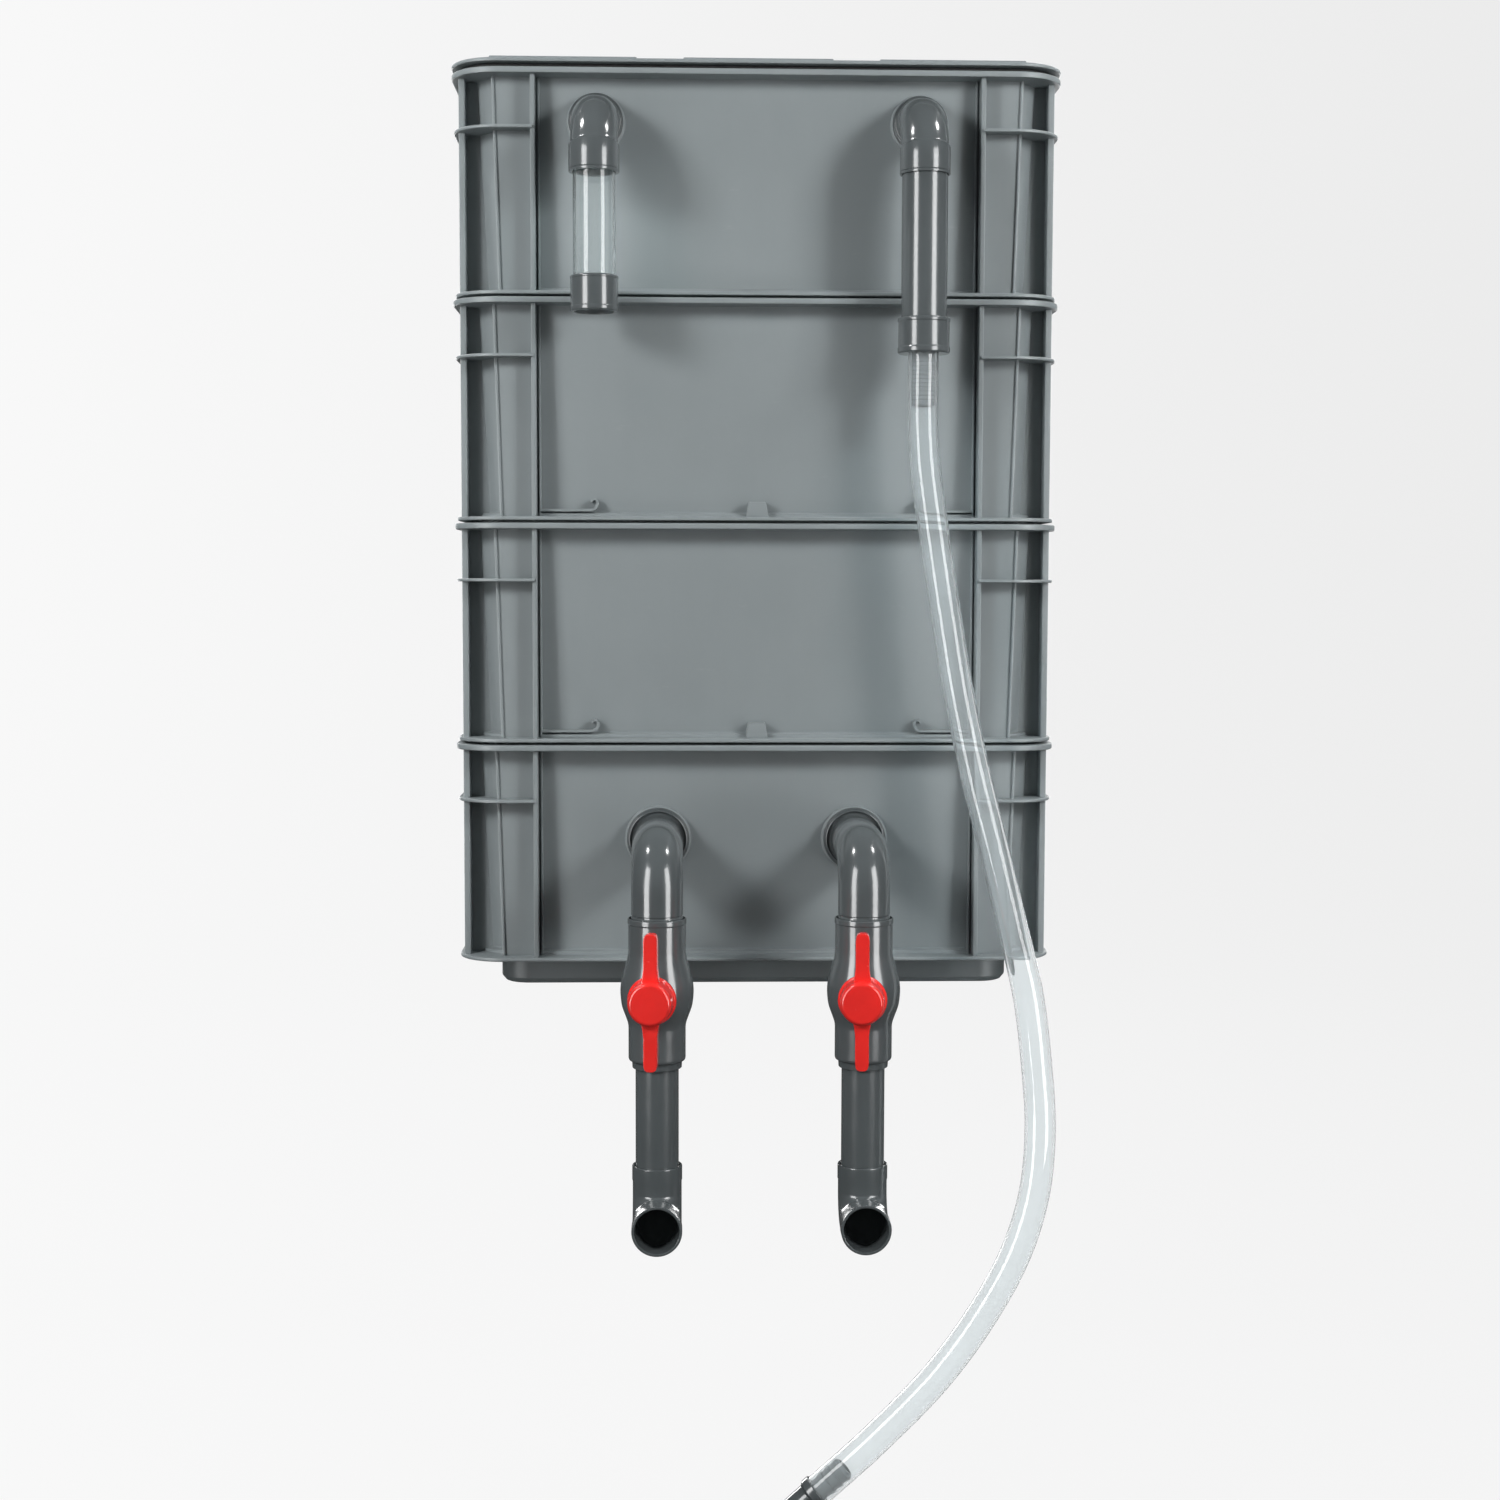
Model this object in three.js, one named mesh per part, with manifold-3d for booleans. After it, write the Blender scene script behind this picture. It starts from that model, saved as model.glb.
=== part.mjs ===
import * as THREE from 'three';
import { mergeVertices } from 'three/addons/utils/BufferGeometryUtils.js';
import Module from 'manifold-3d';

const wasm = await Module();
wasm.setup();

// Millimetres. +Z up, +X along the long side, the plumbing is on the -Y face.
// The origin is the centre of the underside of the bottom crate.

const GAP = 0.3; // clearance between two separate pieces
const ROUND = 16; // sides of a turned or swept piece
const BEND = 4; // steps of a pipe bend
const CORNER = 4; // steps of a crate corner

// Stacking crate
const RIM_X = 300; // half length over the rim
const RIM_Y = 200; // half width over the rim
const RIM_R = 48; // corner radius of the rim
const CRATE_H = 245; // underside of the foot to the top of the rim
const RIM_T = 6; // height of the rim band
const FOOT_H = 27; // foot that drops into the crate below
const FOOT_X = 258;
const FOOT_Y = 157;
const FLANGE_T = 6; // height of the bottom flange
const FLANGE_INSET = 2.5; // flange edge behind the rim edge
const RELIEF = 2.2; // the outer edge of the flange stands clear of the rim below
const RELIEF_IN = 18; // width of the relieved edge
const COLUMN_Y = 182; // front face of the corner columns
const WALL_X = 269; // half length over the wall at its base
const WALL_Y = 170; // half width over the wall at its base
const WALL_R = 36;
const DRAFT = 8; // outward lean of the wall from base to rim
const WALL_T = 3;
const PITCH = CRATE_H - FOOT_H + GAP; // height added by each crate
const RING_Z = 187.5; // corner ring, underside
const RING_T = 3;
const POST_X = 218.75; // upright rib beside the panel
const POST_T = 4.5;
const POST_REACH = 5; // upright ribs stop this far inside the rim edge

// Lid
const SEAL_H = 4;
const LID_T = 4;
const RIDGE_H = 4;

// Ports
const PAD_FRONT = 181; // outer face of the moulded port pad, distance from the centre plane
const PAD_BACK = 168; // inner face of the pad
const TOP_PORT_X = 158;
const TOP_PORT_Z = 196.6; // above the underside of its own crate
const RETURN_X = 98;
const RETURN_Z = 150.4;

// Top plumbing
const DROP_Y = -232; // axis of the upright pipes of the top crate
const TOP_ELBOW_R = 23.6;
const TOP_SPIGOT_R = 20.3;
const TOP_FLANGE_R = 26.6;
const TOP_ELBOW_LOW = 793.9; // lower end of the top elbows
const SIGHT_R = 20.3; // clear overflow tube
const INLET_R = 22.1; // grey inlet pipe
const SIGHT_END_Z = 697; // top of the coupling under the sight tube
const INLET_END_Z = 659; // top of the reducing coupling
const COUPLING_R = 25.2;

// Return plumbing
const VALVE_Y = -302; // axis of the valves
const VALVE_BASE = 10; // level that the valve heights below are measured from
const VALVE_Z = 8.4; // height of the handle axis
const VALVE_TOP = 79.5;
const VALVE_BOTTOM = -63.4;
const FACING = [0, 0, -6]; // degrees; the valve handles face slightly to the left
const RETURN_ELBOW_R = 24.6;
const RETURN_ELBOW_LOW = 65.2; // lower end of the return elbows
const RETURN_BEND = 37;
const RETURN_PIPE_R = 20.5;
const RETURN_PIPE_LOW = -171;
const BALL_R = 23.4;
const OUTLET_Z = -198.6; // axis of the discharge opening
const OUTLET_Y = -352; // face of the discharge opening

// Inlet hose
const HOSE_R = 15;
const HOSE_BORE_R = 12.5;
const HOSE_SIDES = 8;
const HOSE_STEPS = 20;

// ---------------------------------------------------------------- helpers

function solid(geometry) {
  const plain = geometry.clone();
  plain.deleteAttribute('normal');
  plain.deleteAttribute('uv');
  const merged = mergeVertices(plain, 1e-4);
  const position = merged.getAttribute('position');
  const index = merged.getIndex();
  const corners = [];
  let volume = 0;
  for (let i = 0; i < index.count; i += 3) {
    const ids = [index.getX(i), index.getX(i + 1), index.getX(i + 2)];
    if (new Set(ids).size === 3) {
      const [a, b, c] = ids.map((id) => new THREE.Vector3().fromBufferAttribute(position, id));
      volume += a.dot(b.cross(c));
      corners.push(ids);
    }
  }
  const wound = volume < 0 ? corners.map(([a, b, c]) => [a, c, b]) : corners;
  return new wasm.Manifold(new wasm.Mesh({
    numProp: 3,
    vertProperties: new Float32Array(position.array),
    triVerts: new Uint32Array(wound.flat()),
  }));
}

function surface(manifold) {
  const { numProp, vertProperties, triVerts } = manifold.getMesh();
  const xyz = new Float32Array(vertProperties.length / numProp * 3);
  for (let i = 0; i < xyz.length / 3; i += 1) {
    xyz.set(vertProperties.subarray(i * numProp, i * numProp + 3), i * 3);
  }
  const geometry = new THREE.BufferGeometry();
  geometry.setAttribute('position', new THREE.BufferAttribute(xyz, 3));
  geometry.setIndex(new THREE.BufferAttribute(new Uint32Array(triVerts), 1));
  geometry.computeVertexNormals();
  return geometry;
}

function join(pieces) {
  return pieces.reduce((sum, piece) => sum.add(piece));
}

function carve(body, tools) {
  return tools.reduce((rest, tool) => rest.subtract(tool), body);
}

function box(x0, x1, y0, y1, z0, z1) {
  const geometry = new THREE.BoxGeometry(x1 - x0, y1 - y0, z1 - z0);
  geometry.translate((x0 + x1) / 2, (y0 + y1) / 2, (z0 + z1) / 2);
  return solid(geometry);
}

// Turned about an axis: up is +Z, front is -Y. The profile is a list of [radius, height].
function turned(profile, direction, x, y, z, sides = ROUND) {
  const points = profile.map(([r, h]) => new THREE.Vector2(r, h));
  const geometry = new THREE.LatheGeometry(points, sides);
  geometry.rotateX(direction === 'up' ? Math.PI / 2 : Math.PI);
  geometry.translate(x, y, z);
  return solid(geometry);
}

function ringProfile(inner, outer, low, high) {
  return [[inner, low], [outer, low], [outer, high], [inner, high], [inner, low]];
}

function discProfile(radius, low, high) {
  return [[0, low], [radius, low], [radius, high], [0, high]];
}

function extruded(points, depth) {
  const shape = new THREE.Shape(points.map(([x, y]) => new THREE.Vector2(x, y)));
  return new THREE.ExtrudeGeometry(shape, { depth, bevelEnabled: false });
}

// Rounded rectangle from z0 to z1; the top may lean outwards by flare.
function plate(halfX, halfY, radius, z0, z1, flare = 0) {
  const shape = new THREE.Shape();
  const x = halfX - radius;
  const y = halfY - radius;
  shape.absarc(x, y, radius, 0, Math.PI / 2, false);
  shape.absarc(-x, y, radius, Math.PI / 2, Math.PI, false);
  shape.absarc(-x, -y, radius, Math.PI, Math.PI * 1.5, false);
  shape.absarc(x, -y, radius, Math.PI * 1.5, Math.PI * 2, false);
  const options = { depth: z1 - z0, bevelEnabled: false, curveSegments: CORNER / 2 };
  const geometry = new THREE.ExtrudeGeometry(shape, options);
  const position = geometry.getAttribute('position');
  for (let i = 0; i < position.count; i += 1) {
    const lean = flare * position.getZ(i) / (z1 - z0);
    position.setX(i, position.getX(i) + lean * Math.sign(position.getX(i)));
    position.setY(i, position.getY(i) + lean * Math.sign(position.getY(i)));
  }
  geometry.translate(0, 0, z0);
  return solid(geometry);
}

class KnotCurve extends THREE.Curve {
  constructor(knots) {
    super();
    this.knots = knots;
  }

  knot(u) {
    return this.knots[Math.round(u * (this.knots.length - 1))];
  }

  getPointAt(u, target = new THREE.Vector3()) {
    return target.copy(this.knot(u).point);
  }

  getTangentAt(u, target = new THREE.Vector3()) {
    return target.copy(this.knot(u).tangent);
  }
}

// Straight runs between the corners with a bend of the given radius at each inner corner.
function route(corners, radius) {
  const points = corners.map(([x, y, z]) => new THREE.Vector3(x, y, z));
  const heading = (i) => points[i + 1].clone().sub(points[i]).normalize();
  const last = points.length - 1;
  const knots = [{ point: points[0], tangent: heading(0) }];
  for (let i = 1; i < last; i += 1) {
    const into = heading(i - 1);
    const out = heading(i);
    const angle = into.angleTo(out);
    const inward = out.clone().addScaledVector(into, -out.dot(into)).normalize();
    const start = points[i].clone().addScaledVector(into, -radius * Math.tan(angle / 2));
    const centre = start.clone().addScaledVector(inward, radius);
    for (let k = 0; k <= BEND; k += 1) {
      const a = angle * k / BEND;
      const point = centre.clone().addScaledVector(inward, -radius * Math.cos(a));
      point.addScaledVector(into, radius * Math.sin(a));
      const tangent = into.clone().multiplyScalar(Math.cos(a));
      tangent.addScaledVector(inward, Math.sin(a));
      knots.push({ point, tangent });
    }
  }
  knots.push({ point: points[last], tangent: heading(last - 1) });
  return knots;
}

function sweptTube(knots, inner, outer, sides = ROUND) {
  const section = new THREE.Shape();
  section.absarc(0, 0, outer, 0, Math.PI * 2, false);
  const bore = new THREE.Path();
  bore.absarc(0, 0, inner, 0, Math.PI * 2, true);
  section.holes.push(bore);
  const options = {
    steps: knots.length - 1,
    curveSegments: sides / 2,
    extrudePath: new KnotCurve(knots),
    bevelEnabled: false,
  };
  return solid(new THREE.ExtrudeGeometry(section, options));
}

// ---------------------------------------------------------------- assembly

const group = new THREE.Group();
group.name = 'stacked_box_filter';

const FINISHES = {
  crate: { color: 0x848b8e, roughness: 0.55 },
  pvc: { color: 0x5c6265, roughness: 0.25 },
  rubber: { color: 0x2b2d2e, roughness: 0.8 },
  red: { color: 0xdc2326, roughness: 0.3 },
  clear: { color: 0xdfe7ea, roughness: 0.05, transparent: true, opacity: 0.35 },
  ptfe: { color: 0xf2f2ee, roughness: 0.4 },
  wool: { color: 0xf4f4f1, roughness: 1.0 },
  sponge: { color: 0x3c4f63, roughness: 1.0 },
  ceramic: { color: 0xd8cdbb, roughness: 0.9 },
};

function part(name, finish, manifold) {
  const mesh = new THREE.Mesh(surface(manifold), new THREE.MeshStandardMaterial(FINISHES[finish]));
  mesh.name = name;
  group.add(mesh);
}

// ---------------------------------------------------------------- crates

function uprights() {
  const edgeX = RIM_X - POST_REACH;
  const edgeY = RIM_Y - POST_REACH;
  const low = FOOT_H + 3;
  const ribs = [];
  for (const sx of [-1, 1]) {
    for (const sy of [-1, 1]) {
      const spanX = (a, b) => [Math.min(sx * a, sx * b), Math.max(sx * a, sx * b)];
      const spanY = (a, b) => [Math.min(sy * a, sy * b), Math.max(sy * a, sy * b)];
      const add = (x, y, high) => ribs.push(box(...x, ...y, low, high));
      const half = POST_T / 2;
      add(spanX(POST_X - half, POST_X + half), spanY(WALL_Y - 5, edgeY), CRATE_H - 1);
      add(spanX(WALL_X - 5, edgeX), spanY(112 - half, 112 + half), CRATE_H - 1);
      add(spanX(WALL_X - 20, 292), spanY(148, 152.5), CRATE_H - 1);
      add(spanX(286, 292), spanY(150, 170), CRATE_H - 1);
      add(spanX(213, 214.6), spanY(WALL_Y - 5, 181), CRATE_H - 1);
      const sloped = (inner, outer, front) => {
        const lean = 6.5;
        const upright = extruded([
          [inner[0], low], [outer, low], [outer + lean, CRATE_H - 1], [inner[1], CRATE_H - 1],
        ], front - WALL_Y + 4);
        upright.rotateX(Math.PI / 2);
        upright.translate(0, front, 0);
        upright.scale(sx, sy, 1);
        ribs.push(solid(upright));
      };
      sloped([250, 256.5], 253, 184);
      sloped([POST_X, POST_X], 251, COLUMN_Y);
    }
  }
  return ribs;
}

function cornerRing() {
  const ring = plate(RIM_X - 2, RIM_Y - 2, RIM_R - 2, RING_Z, RING_Z + RING_T);
  return ring.subtract(box(-POST_X, POST_X, -RIM_Y, RIM_Y, RING_Z - 1, RING_Z + RING_T + 1));
}

// Label holder: a hooked bar at each side and a clip in the middle, front and back.
function labelHolder() {
  const pieces = [];
  const hook = [[214, 0], [163, 0], [158.5, 2.5], [156.5, 7], [157.5, 12]];
  const inside = [[160, 11], [159.5, 7], [160.8, 4.2], [163.6, 2.8], [214, 2.8]];
  for (const sy of [-1, 1]) {
    for (const sx of [-1, 1]) {
      const bar = extruded([...hook, ...inside], 14);
      bar.rotateX(Math.PI / 2);
      bar.translate(0, 181, 38);
      bar.scale(sx, sy, 1);
      pieces.push(solid(bar));
    }
    const clip = extruded([[-11, 33], [11, 33], [8.5, 48], [-8.5, 48]], 18);
    clip.rotateX(Math.PI / 2);
    clip.translate(0, 185, 0);
    clip.scale(1, sy, 1);
    pieces.push(solid(clip));
  }
  return pieces;
}

function portPad(x, z, radius, bore) {
  const pad = turned(discProfile(radius, PAD_BACK, PAD_FRONT), 'front', x, 0, z);
  const hole = turned(discProfile(bore, PAD_BACK - 5, PAD_FRONT + 5), 'front', x, 0, z);
  return { pad, hole };
}

function crate(name, level, holder, drilled, ports) {
  const top = CRATE_H;
  const base = FOOT_H;
  const shell = join([
    plate(FOOT_X - 4, FOOT_Y - 4, 26, 0, 5, 4),
    plate(FOOT_X, FOOT_Y, 30, 5, base + 1),
    plate(RIM_X - RELIEF_IN, RIM_Y - RELIEF_IN, 30, base, base + FLANGE_T - 1),
    plate(RIM_X - FLANGE_INSET, RIM_Y - FLANGE_INSET, RIM_R - 2, base + RELIEF, base + FLANGE_T),
    plate(WALL_X + 8, WALL_Y + 8, WALL_R + 6, base + 3, base + FLANGE_T + 4),
    plate(WALL_X, WALL_Y, WALL_R, base, top, DRAFT),
    plate(RIM_X, RIM_Y, RIM_R, top - RIM_T, top),
    cornerRing(),
    ...uprights(),
    ...(holder ? labelHolder() : []),
  ]);
  const lean = DRAFT * (top + 1 - (base + 3)) / (top - base);
  const rise = DRAFT * 3 / (top - base);
  const room = plate(
    WALL_X - WALL_T + rise, WALL_Y - WALL_T + rise, WALL_R - WALL_T, base + 3, top + 1, lean,
  );
  const well = plate(FOOT_X - WALL_T, FOOT_Y - WALL_T, 27, WALL_T, base + 4);
  const hollow = carve(shell, [room, well]);
  const padded = join([hollow, ...ports.map((port) => port.pad)]);
  const slots = [];
  if (drilled) {
    for (const x of [-178, -59, 59, 178]) {
      for (const y of [-105, -35, 35, 105]) {
        slots.push(box(x - 45, x + 45, y - 7, y + 7, -1, WALL_T + 1));
      }
    }
  }
  const body = carve(padded, [...ports.map((port) => port.hole), ...slots]).simplify(0.05);
  part(name, 'crate', body.translate([0, 0, level * PITCH]));
}

const topPorts = [-1, 1].map((s) => portPad(s * TOP_PORT_X, TOP_PORT_Z, 28.6, TOP_SPIGOT_R + GAP));
const returnPorts = [-1, 1].map((s) => portPad(s * RETURN_X, RETURN_Z, 33, 24.5 + GAP));
crate('crate_1', 3, false, true, topPorts);
crate('crate_2', 2, true, true, []);
crate('crate_3', 1, true, true, []);
crate('crate_4', 0, false, false, returnPorts);

// ---------------------------------------------------------------- lid

const LID_BASE = 3 * PITCH + CRATE_H + GAP;
const LID_UNDER = LID_BASE + SEAL_H + GAP;

part('lid_seal', 'rubber', carve(plate(292, 192, 42, LID_BASE, LID_BASE + SEAL_H), [
  plate(281, 181, 38, LID_BASE - 1, LID_BASE + SEAL_H + 1),
]));

function lid() {
  const high = LID_UNDER + LID_T + RIDGE_H;
  const skirtLow = LID_UNDER - 14;
  const skirt = plate(271.5, 172.5, 40, skirtLow, LID_UNDER + 1)
    .subtract(plate(268.5, 169.5, 37, skirtLow - 1, LID_UNDER + 2));
  const pieces = [plate(RIM_X, RIM_Y, RIM_R, LID_UNDER, LID_UNDER + LID_T), skirt];
  const ridge = (x0, x1, y0, y1) => pieces.push(box(x0, x1, y0, y1, LID_UNDER + LID_T - 1, high));
  for (const s of [-1, 1]) {
    const y0 = Math.min(s * 181, s * 188);
    for (const [x0, x1] of [[-261, -118], [-73, 73], [118, 261]]) {
      ridge(x0, x1, y0, y0 + 7);
    }
    const x0 = Math.min(s * 281, s * 288);
    for (const [a, b] of [[-150, -22], [22, 150]]) {
      ridge(x0, x0 + 7, a, b);
    }
  }
  return join(pieces);
}

part('lid', 'crate', lid());

// ---------------------------------------------------------------- port fittings

// Heights run outwards from the centre plane of the stack.
function portFitting(name, x, z, barrel, bore, flange, spigot, reach) {
  const face = PAD_FRONT + GAP;
  const plateLow = face + 2.2 + GAP;
  const plateHigh = plateLow + 5.5;
  const tail = PAD_BACK - 14;
  part(`${name}_gasket`, 'rubber', turned(
    ringProfile(barrel + GAP, flange, face, face + 2.2), 'front', x, 0, z,
  ));
  part(`${name}_bulkhead`, 'pvc', turned([
    [bore, tail], [barrel, tail], [barrel, plateLow], [flange, plateLow],
    [flange, plateHigh], [spigot, plateHigh], [spigot, reach], [bore, reach], [bore, tail],
  ], 'front', x, 0, z));
  const nut = turned(
    ringProfile(barrel + GAP, flange + 2, PAD_BACK - GAP - 9, PAD_BACK - GAP), 'front', x, 0, z, 6,
  );
  const clear = turned(discProfile(barrel + GAP, PAD_BACK - 12, PAD_BACK + 2), 'front', x, 0, z);
  part(`${name}_nut`, 'pvc', nut.subtract(clear));
  return plateHigh + GAP;
}

// ---------------------------------------------------------------- overflow and inlet drops

const topZ = 3 * PITCH + TOP_PORT_Z;

function topElbow(name, x, start, pipeR) {
  const low = TOP_ELBOW_LOW;
  const path = route([[x, -start, topZ], [x, DROP_Y, topZ], [x, DROP_Y, low]], 30);
  const tube = sweptTube(path, TOP_SPIGOT_R + GAP, TOP_ELBOW_R);
  const collar = turned(ringProfile(pipeR + GAP, TOP_ELBOW_R + 0.7, low, low + 26), 'up', x, DROP_Y, 0);
  const socket = turned(discProfile(pipeR + GAP, low - 1, low + 24.5), 'up', x, DROP_Y, 0);
  part(name, 'pvc', tube.add(collar).subtract(socket));
  return low;
}

const topFitting = [TOP_SPIGOT_R, 17.3, TOP_FLANGE_R, TOP_SPIGOT_R, 201];
const overflowStart = portFitting('overflow', -TOP_PORT_X, topZ, ...topFitting);
const overflowLow = topElbow('overflow_elbow', -TOP_PORT_X, overflowStart, SIGHT_R);
part('sight_tube', 'clear', turned(
  ringProfile(SIGHT_R - 2.3, SIGHT_R, SIGHT_END_Z - 14, overflowLow + 24), 'up', -TOP_PORT_X, DROP_Y, 0,
));
part('overflow_coupling', 'pvc', turned([
  [SIGHT_R + GAP, SIGHT_END_Z], [TOP_ELBOW_R - 0.6, SIGHT_END_Z],
  [TOP_ELBOW_R - 0.6, SIGHT_END_Z - 34], [SIGHT_R - 1, SIGHT_END_Z - 34],
  [SIGHT_R - 1, SIGHT_END_Z - 14 - GAP], [SIGHT_R + GAP, SIGHT_END_Z - 14 - GAP],
  [SIGHT_R + GAP, SIGHT_END_Z],
], 'up', -TOP_PORT_X, DROP_Y, 0));

const inletStart = portFitting('inlet', TOP_PORT_X, topZ, ...topFitting);
const inletLow = topElbow('inlet_elbow', TOP_PORT_X, inletStart, INLET_R);
part('inlet_pipe', 'pvc', turned(
  ringProfile(INLET_R - 2.5, INLET_R, INLET_END_Z - 16, inletLow + 24), 'up', TOP_PORT_X, DROP_Y, 0,
));
const COUPLING_LOW = INLET_END_Z - 34;
part('inlet_coupling', 'pvc', turned([
  [INLET_R + GAP, INLET_END_Z], [COUPLING_R, INLET_END_Z],
  [COUPLING_R, COUPLING_LOW], [13, COUPLING_LOW],
  [13, INLET_END_Z - 16 - GAP], [INLET_R + GAP, INLET_END_Z - 16 - GAP],
  [INLET_R + GAP, INLET_END_Z],
], 'up', TOP_PORT_X, DROP_Y, 0));

// Barbed tail that the hose is pushed on
const TAIL_TOP = INLET_END_Z - 17;
const TAIL_LOW = COUPLING_LOW - 50;
const BARB_R = 11;
const barbs = [[8, TAIL_TOP], [8, TAIL_LOW], [10, TAIL_LOW]];
for (let z = TAIL_LOW; z < COUPLING_LOW - 20; z += 14) {
  barbs.push([BARB_R, z + 3], [10, z + 14]);
}
barbs.push([10, COUPLING_LOW + 1], [13 - GAP, COUPLING_LOW + 1], [13 - GAP, TAIL_TOP], [8, TAIL_TOP]);
part('hose_tail', 'pvc', turned(barbs, 'up', TOP_PORT_X, DROP_Y, 0));

// Inside the top crate: elbow, spray bar and its cap
const barY = -128;
part('inner_elbow', 'pvc', sweptTube(
  route([[TOP_PORT_X, -162, topZ], [TOP_PORT_X, barY, topZ], [112, barY, topZ]], 24), 14.3, 17,
));
const barEnd = -205;
const barHoles = [];
for (let x = barEnd + 25; x < 100; x += 50) {
  barHoles.push(turned(discProfile(4, topZ - 26, topZ - 8), 'up', x, barY, 0, 6));
}
const barTube = new THREE.LatheGeometry(
  ringProfile(17 + GAP, 20, barEnd, 130).map(([r, h]) => new THREE.Vector2(r, h)), ROUND,
);
barTube.rotateZ(-Math.PI / 2);
barTube.translate(0, barY, topZ);
part('spray_bar', 'pvc', carve(solid(barTube), barHoles));
const capProfile = [[0, -5], [23, -5], [23, 16], [20.3, 16], [20.3, -GAP], [0, -GAP]];
const cap = new THREE.LatheGeometry(capProfile.map(([r, h]) => new THREE.Vector2(r, h)), ROUND);
cap.rotateZ(-Math.PI / 2);
cap.translate(barEnd, barY, topZ);
part('spray_bar_cap', 'pvc', solid(cap));

// ---------------------------------------------------------------- hose

const HOSE_TOP = COUPLING_LOW - GAP;
const hosePoints = [
  [158, -232, HOSE_TOP], [158, -232, 560], [161, -232, 515], [170, -233, 450], [182, -235, 372],
  [194, -238, 300], [210, -242, 224], [229, -247, 147], [247, -252, 72], [263, -257, 3],
  [271, -263, -66], [274, -269, -125], [268, -275, -186], [249, -281, -245], [215, -287, -305],
  [172, -292, -362], [112, -297, -422], [58, -300, -470],
].map(([x, y, z]) => new THREE.Vector3(x, y, z));
const hoseLine = new THREE.CatmullRomCurve3(hosePoints, false, 'centripetal');
const hoseKnots = [];
for (let i = 0; i <= HOSE_STEPS; i += 1) {
  hoseKnots.push({
    point: hoseLine.getPointAt(i / HOSE_STEPS),
    tangent: hoseLine.getTangentAt(i / HOSE_STEPS),
  });
}
hoseKnots[0].tangent.set(0, 0, -1);
hoseKnots[1].tangent.set(0, 0, -1);
const hoseEnd = hoseKnots[HOSE_STEPS];
hoseEnd.tangent.copy(hoseEnd.point).sub(hoseKnots[HOSE_STEPS - 1].point).normalize();
part('inlet_hose', 'clear', sweptTube(hoseKnots, HOSE_BORE_R, HOSE_R, HOSE_SIDES));

const connector = new THREE.LatheGeometry([
  [8, -34], [10, -34], [BARB_R, -30], [10, -18], [10, GAP], [17, GAP], [17, 8], [14.5, 10],
  [14.5, 32], [8, 32], [8, -34],
].map(([r, h]) => new THREE.Vector2(r, h)), 12);
const along = new THREE.Quaternion().setFromUnitVectors(new THREE.Vector3(0, 1, 0), hoseEnd.tangent);
connector.applyQuaternion(along);
connector.translate(hoseEnd.point.x, hoseEnd.point.y, hoseEnd.point.z);
part('hose_connector', 'pvc', solid(connector));

// ---------------------------------------------------------------- returns

function valveBody(x) {
  const outside = [
    [21.1, VALVE_TOP], [27.9, VALVE_TOP], [27.9, 43], [30.7, 33], [34.1, 21.5], [35.1, 10], [33.6, -4],
    [30.2, -13.7], [27.1, -21.5], [27.1, -55.6], [23.6, VALVE_BOTTOM], [21.1, VALVE_BOTTOM],
    [21.1, VALVE_TOP],
  ];
  const body = turned(outside, 'up', 0, 0, 0);
  const core = turned(discProfile(21.6, -39, 55), 'up', 0, 0, 0);
  const boss = turned(discProfile(13.7, 0, 39), 'front', 0, 0, VALVE_Z).rotate(FACING);
  const socket = turned(discProfile(RETURN_ELBOW_R + GAP, 54.5, VALVE_TOP + 1), 'up', 0, 0, 0);
  const chamber = turned(discProfile(24.9, VALVE_Z - 25.5, VALVE_Z + 25.5), 'up', 0, 0, 0);
  const through = turned(discProfile(18, VALVE_BOTTOM - 1, VALVE_TOP + 1), 'up', 0, 0, 0);
  const lower = turned(discProfile(RETURN_PIPE_R + GAP, VALVE_BOTTOM - 1, -39), 'up', 0, 0, 0);
  const gland = turned(discProfile(6.5, 0, 45), 'front', 0, 0, VALVE_Z, 12).rotate(FACING);
  const whole = carve(join([body, core, boss]), [socket, chamber, through, lower, gland]);
  return whole.translate([x, VALVE_Y, VALVE_BASE]);
}

function placed(x, manifold) {
  return manifold.rotate(FACING).translate([x, VALVE_Y, VALVE_BASE + VALVE_Z]);
}

function ball() {
  const sphere = solid(new THREE.SphereGeometry(BALL_R, 16, 10));
  const bore = turned(discProfile(18, -30, 30), 'up', 0, 0, 0);
  const slot = box(-2.3, 2.3, -BALL_R - 1, -BALL_R + 3.5, -7, 7);
  return carve(sphere, [bore, slot]);
}

// The stem is a round rod with a flat tongue in the slot of the ball.
function stem() {
  const rod = turned(discProfile(6.2, BALL_R + GAP, 58.5), 'front', 0, 0, 0, 12);
  const tongue = box(-1.8, 1.8, -BALL_R - 2, -BALL_R + 3, -5.6, 5.6);
  return rod.add(tongue);
}

function handle() {
  const hub = turned([
    [0, 40], [23, 40], [23, 45], [21.6, 47], [20.4, 65], [19, 66.4], [0, 66.4],
  ], 'front', 0, 0, 0);
  const arms = extruded([
    [-5.2, -64.4], [5.2, -64.4], [6.6, -62.5], [6.8, 18], [8.8, 20], [6.9, 34], [6.6, 62.5], [5.2, 64.4],
    [-5.2, 64.4], [-6.6, 62.5], [-6.9, 34], [-8.8, 20], [-6.8, 18], [-6.6, -62.5],
  ], 13.5);
  arms.rotateX(Math.PI / 2);
  arms.translate(0, -45, 0);
  const socket = turned(discProfile(6.2 + GAP, 39, 58.5 + GAP), 'front', 0, 0, 0, 12);
  return hub.add(solid(arms)).subtract(socket);
}

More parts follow.
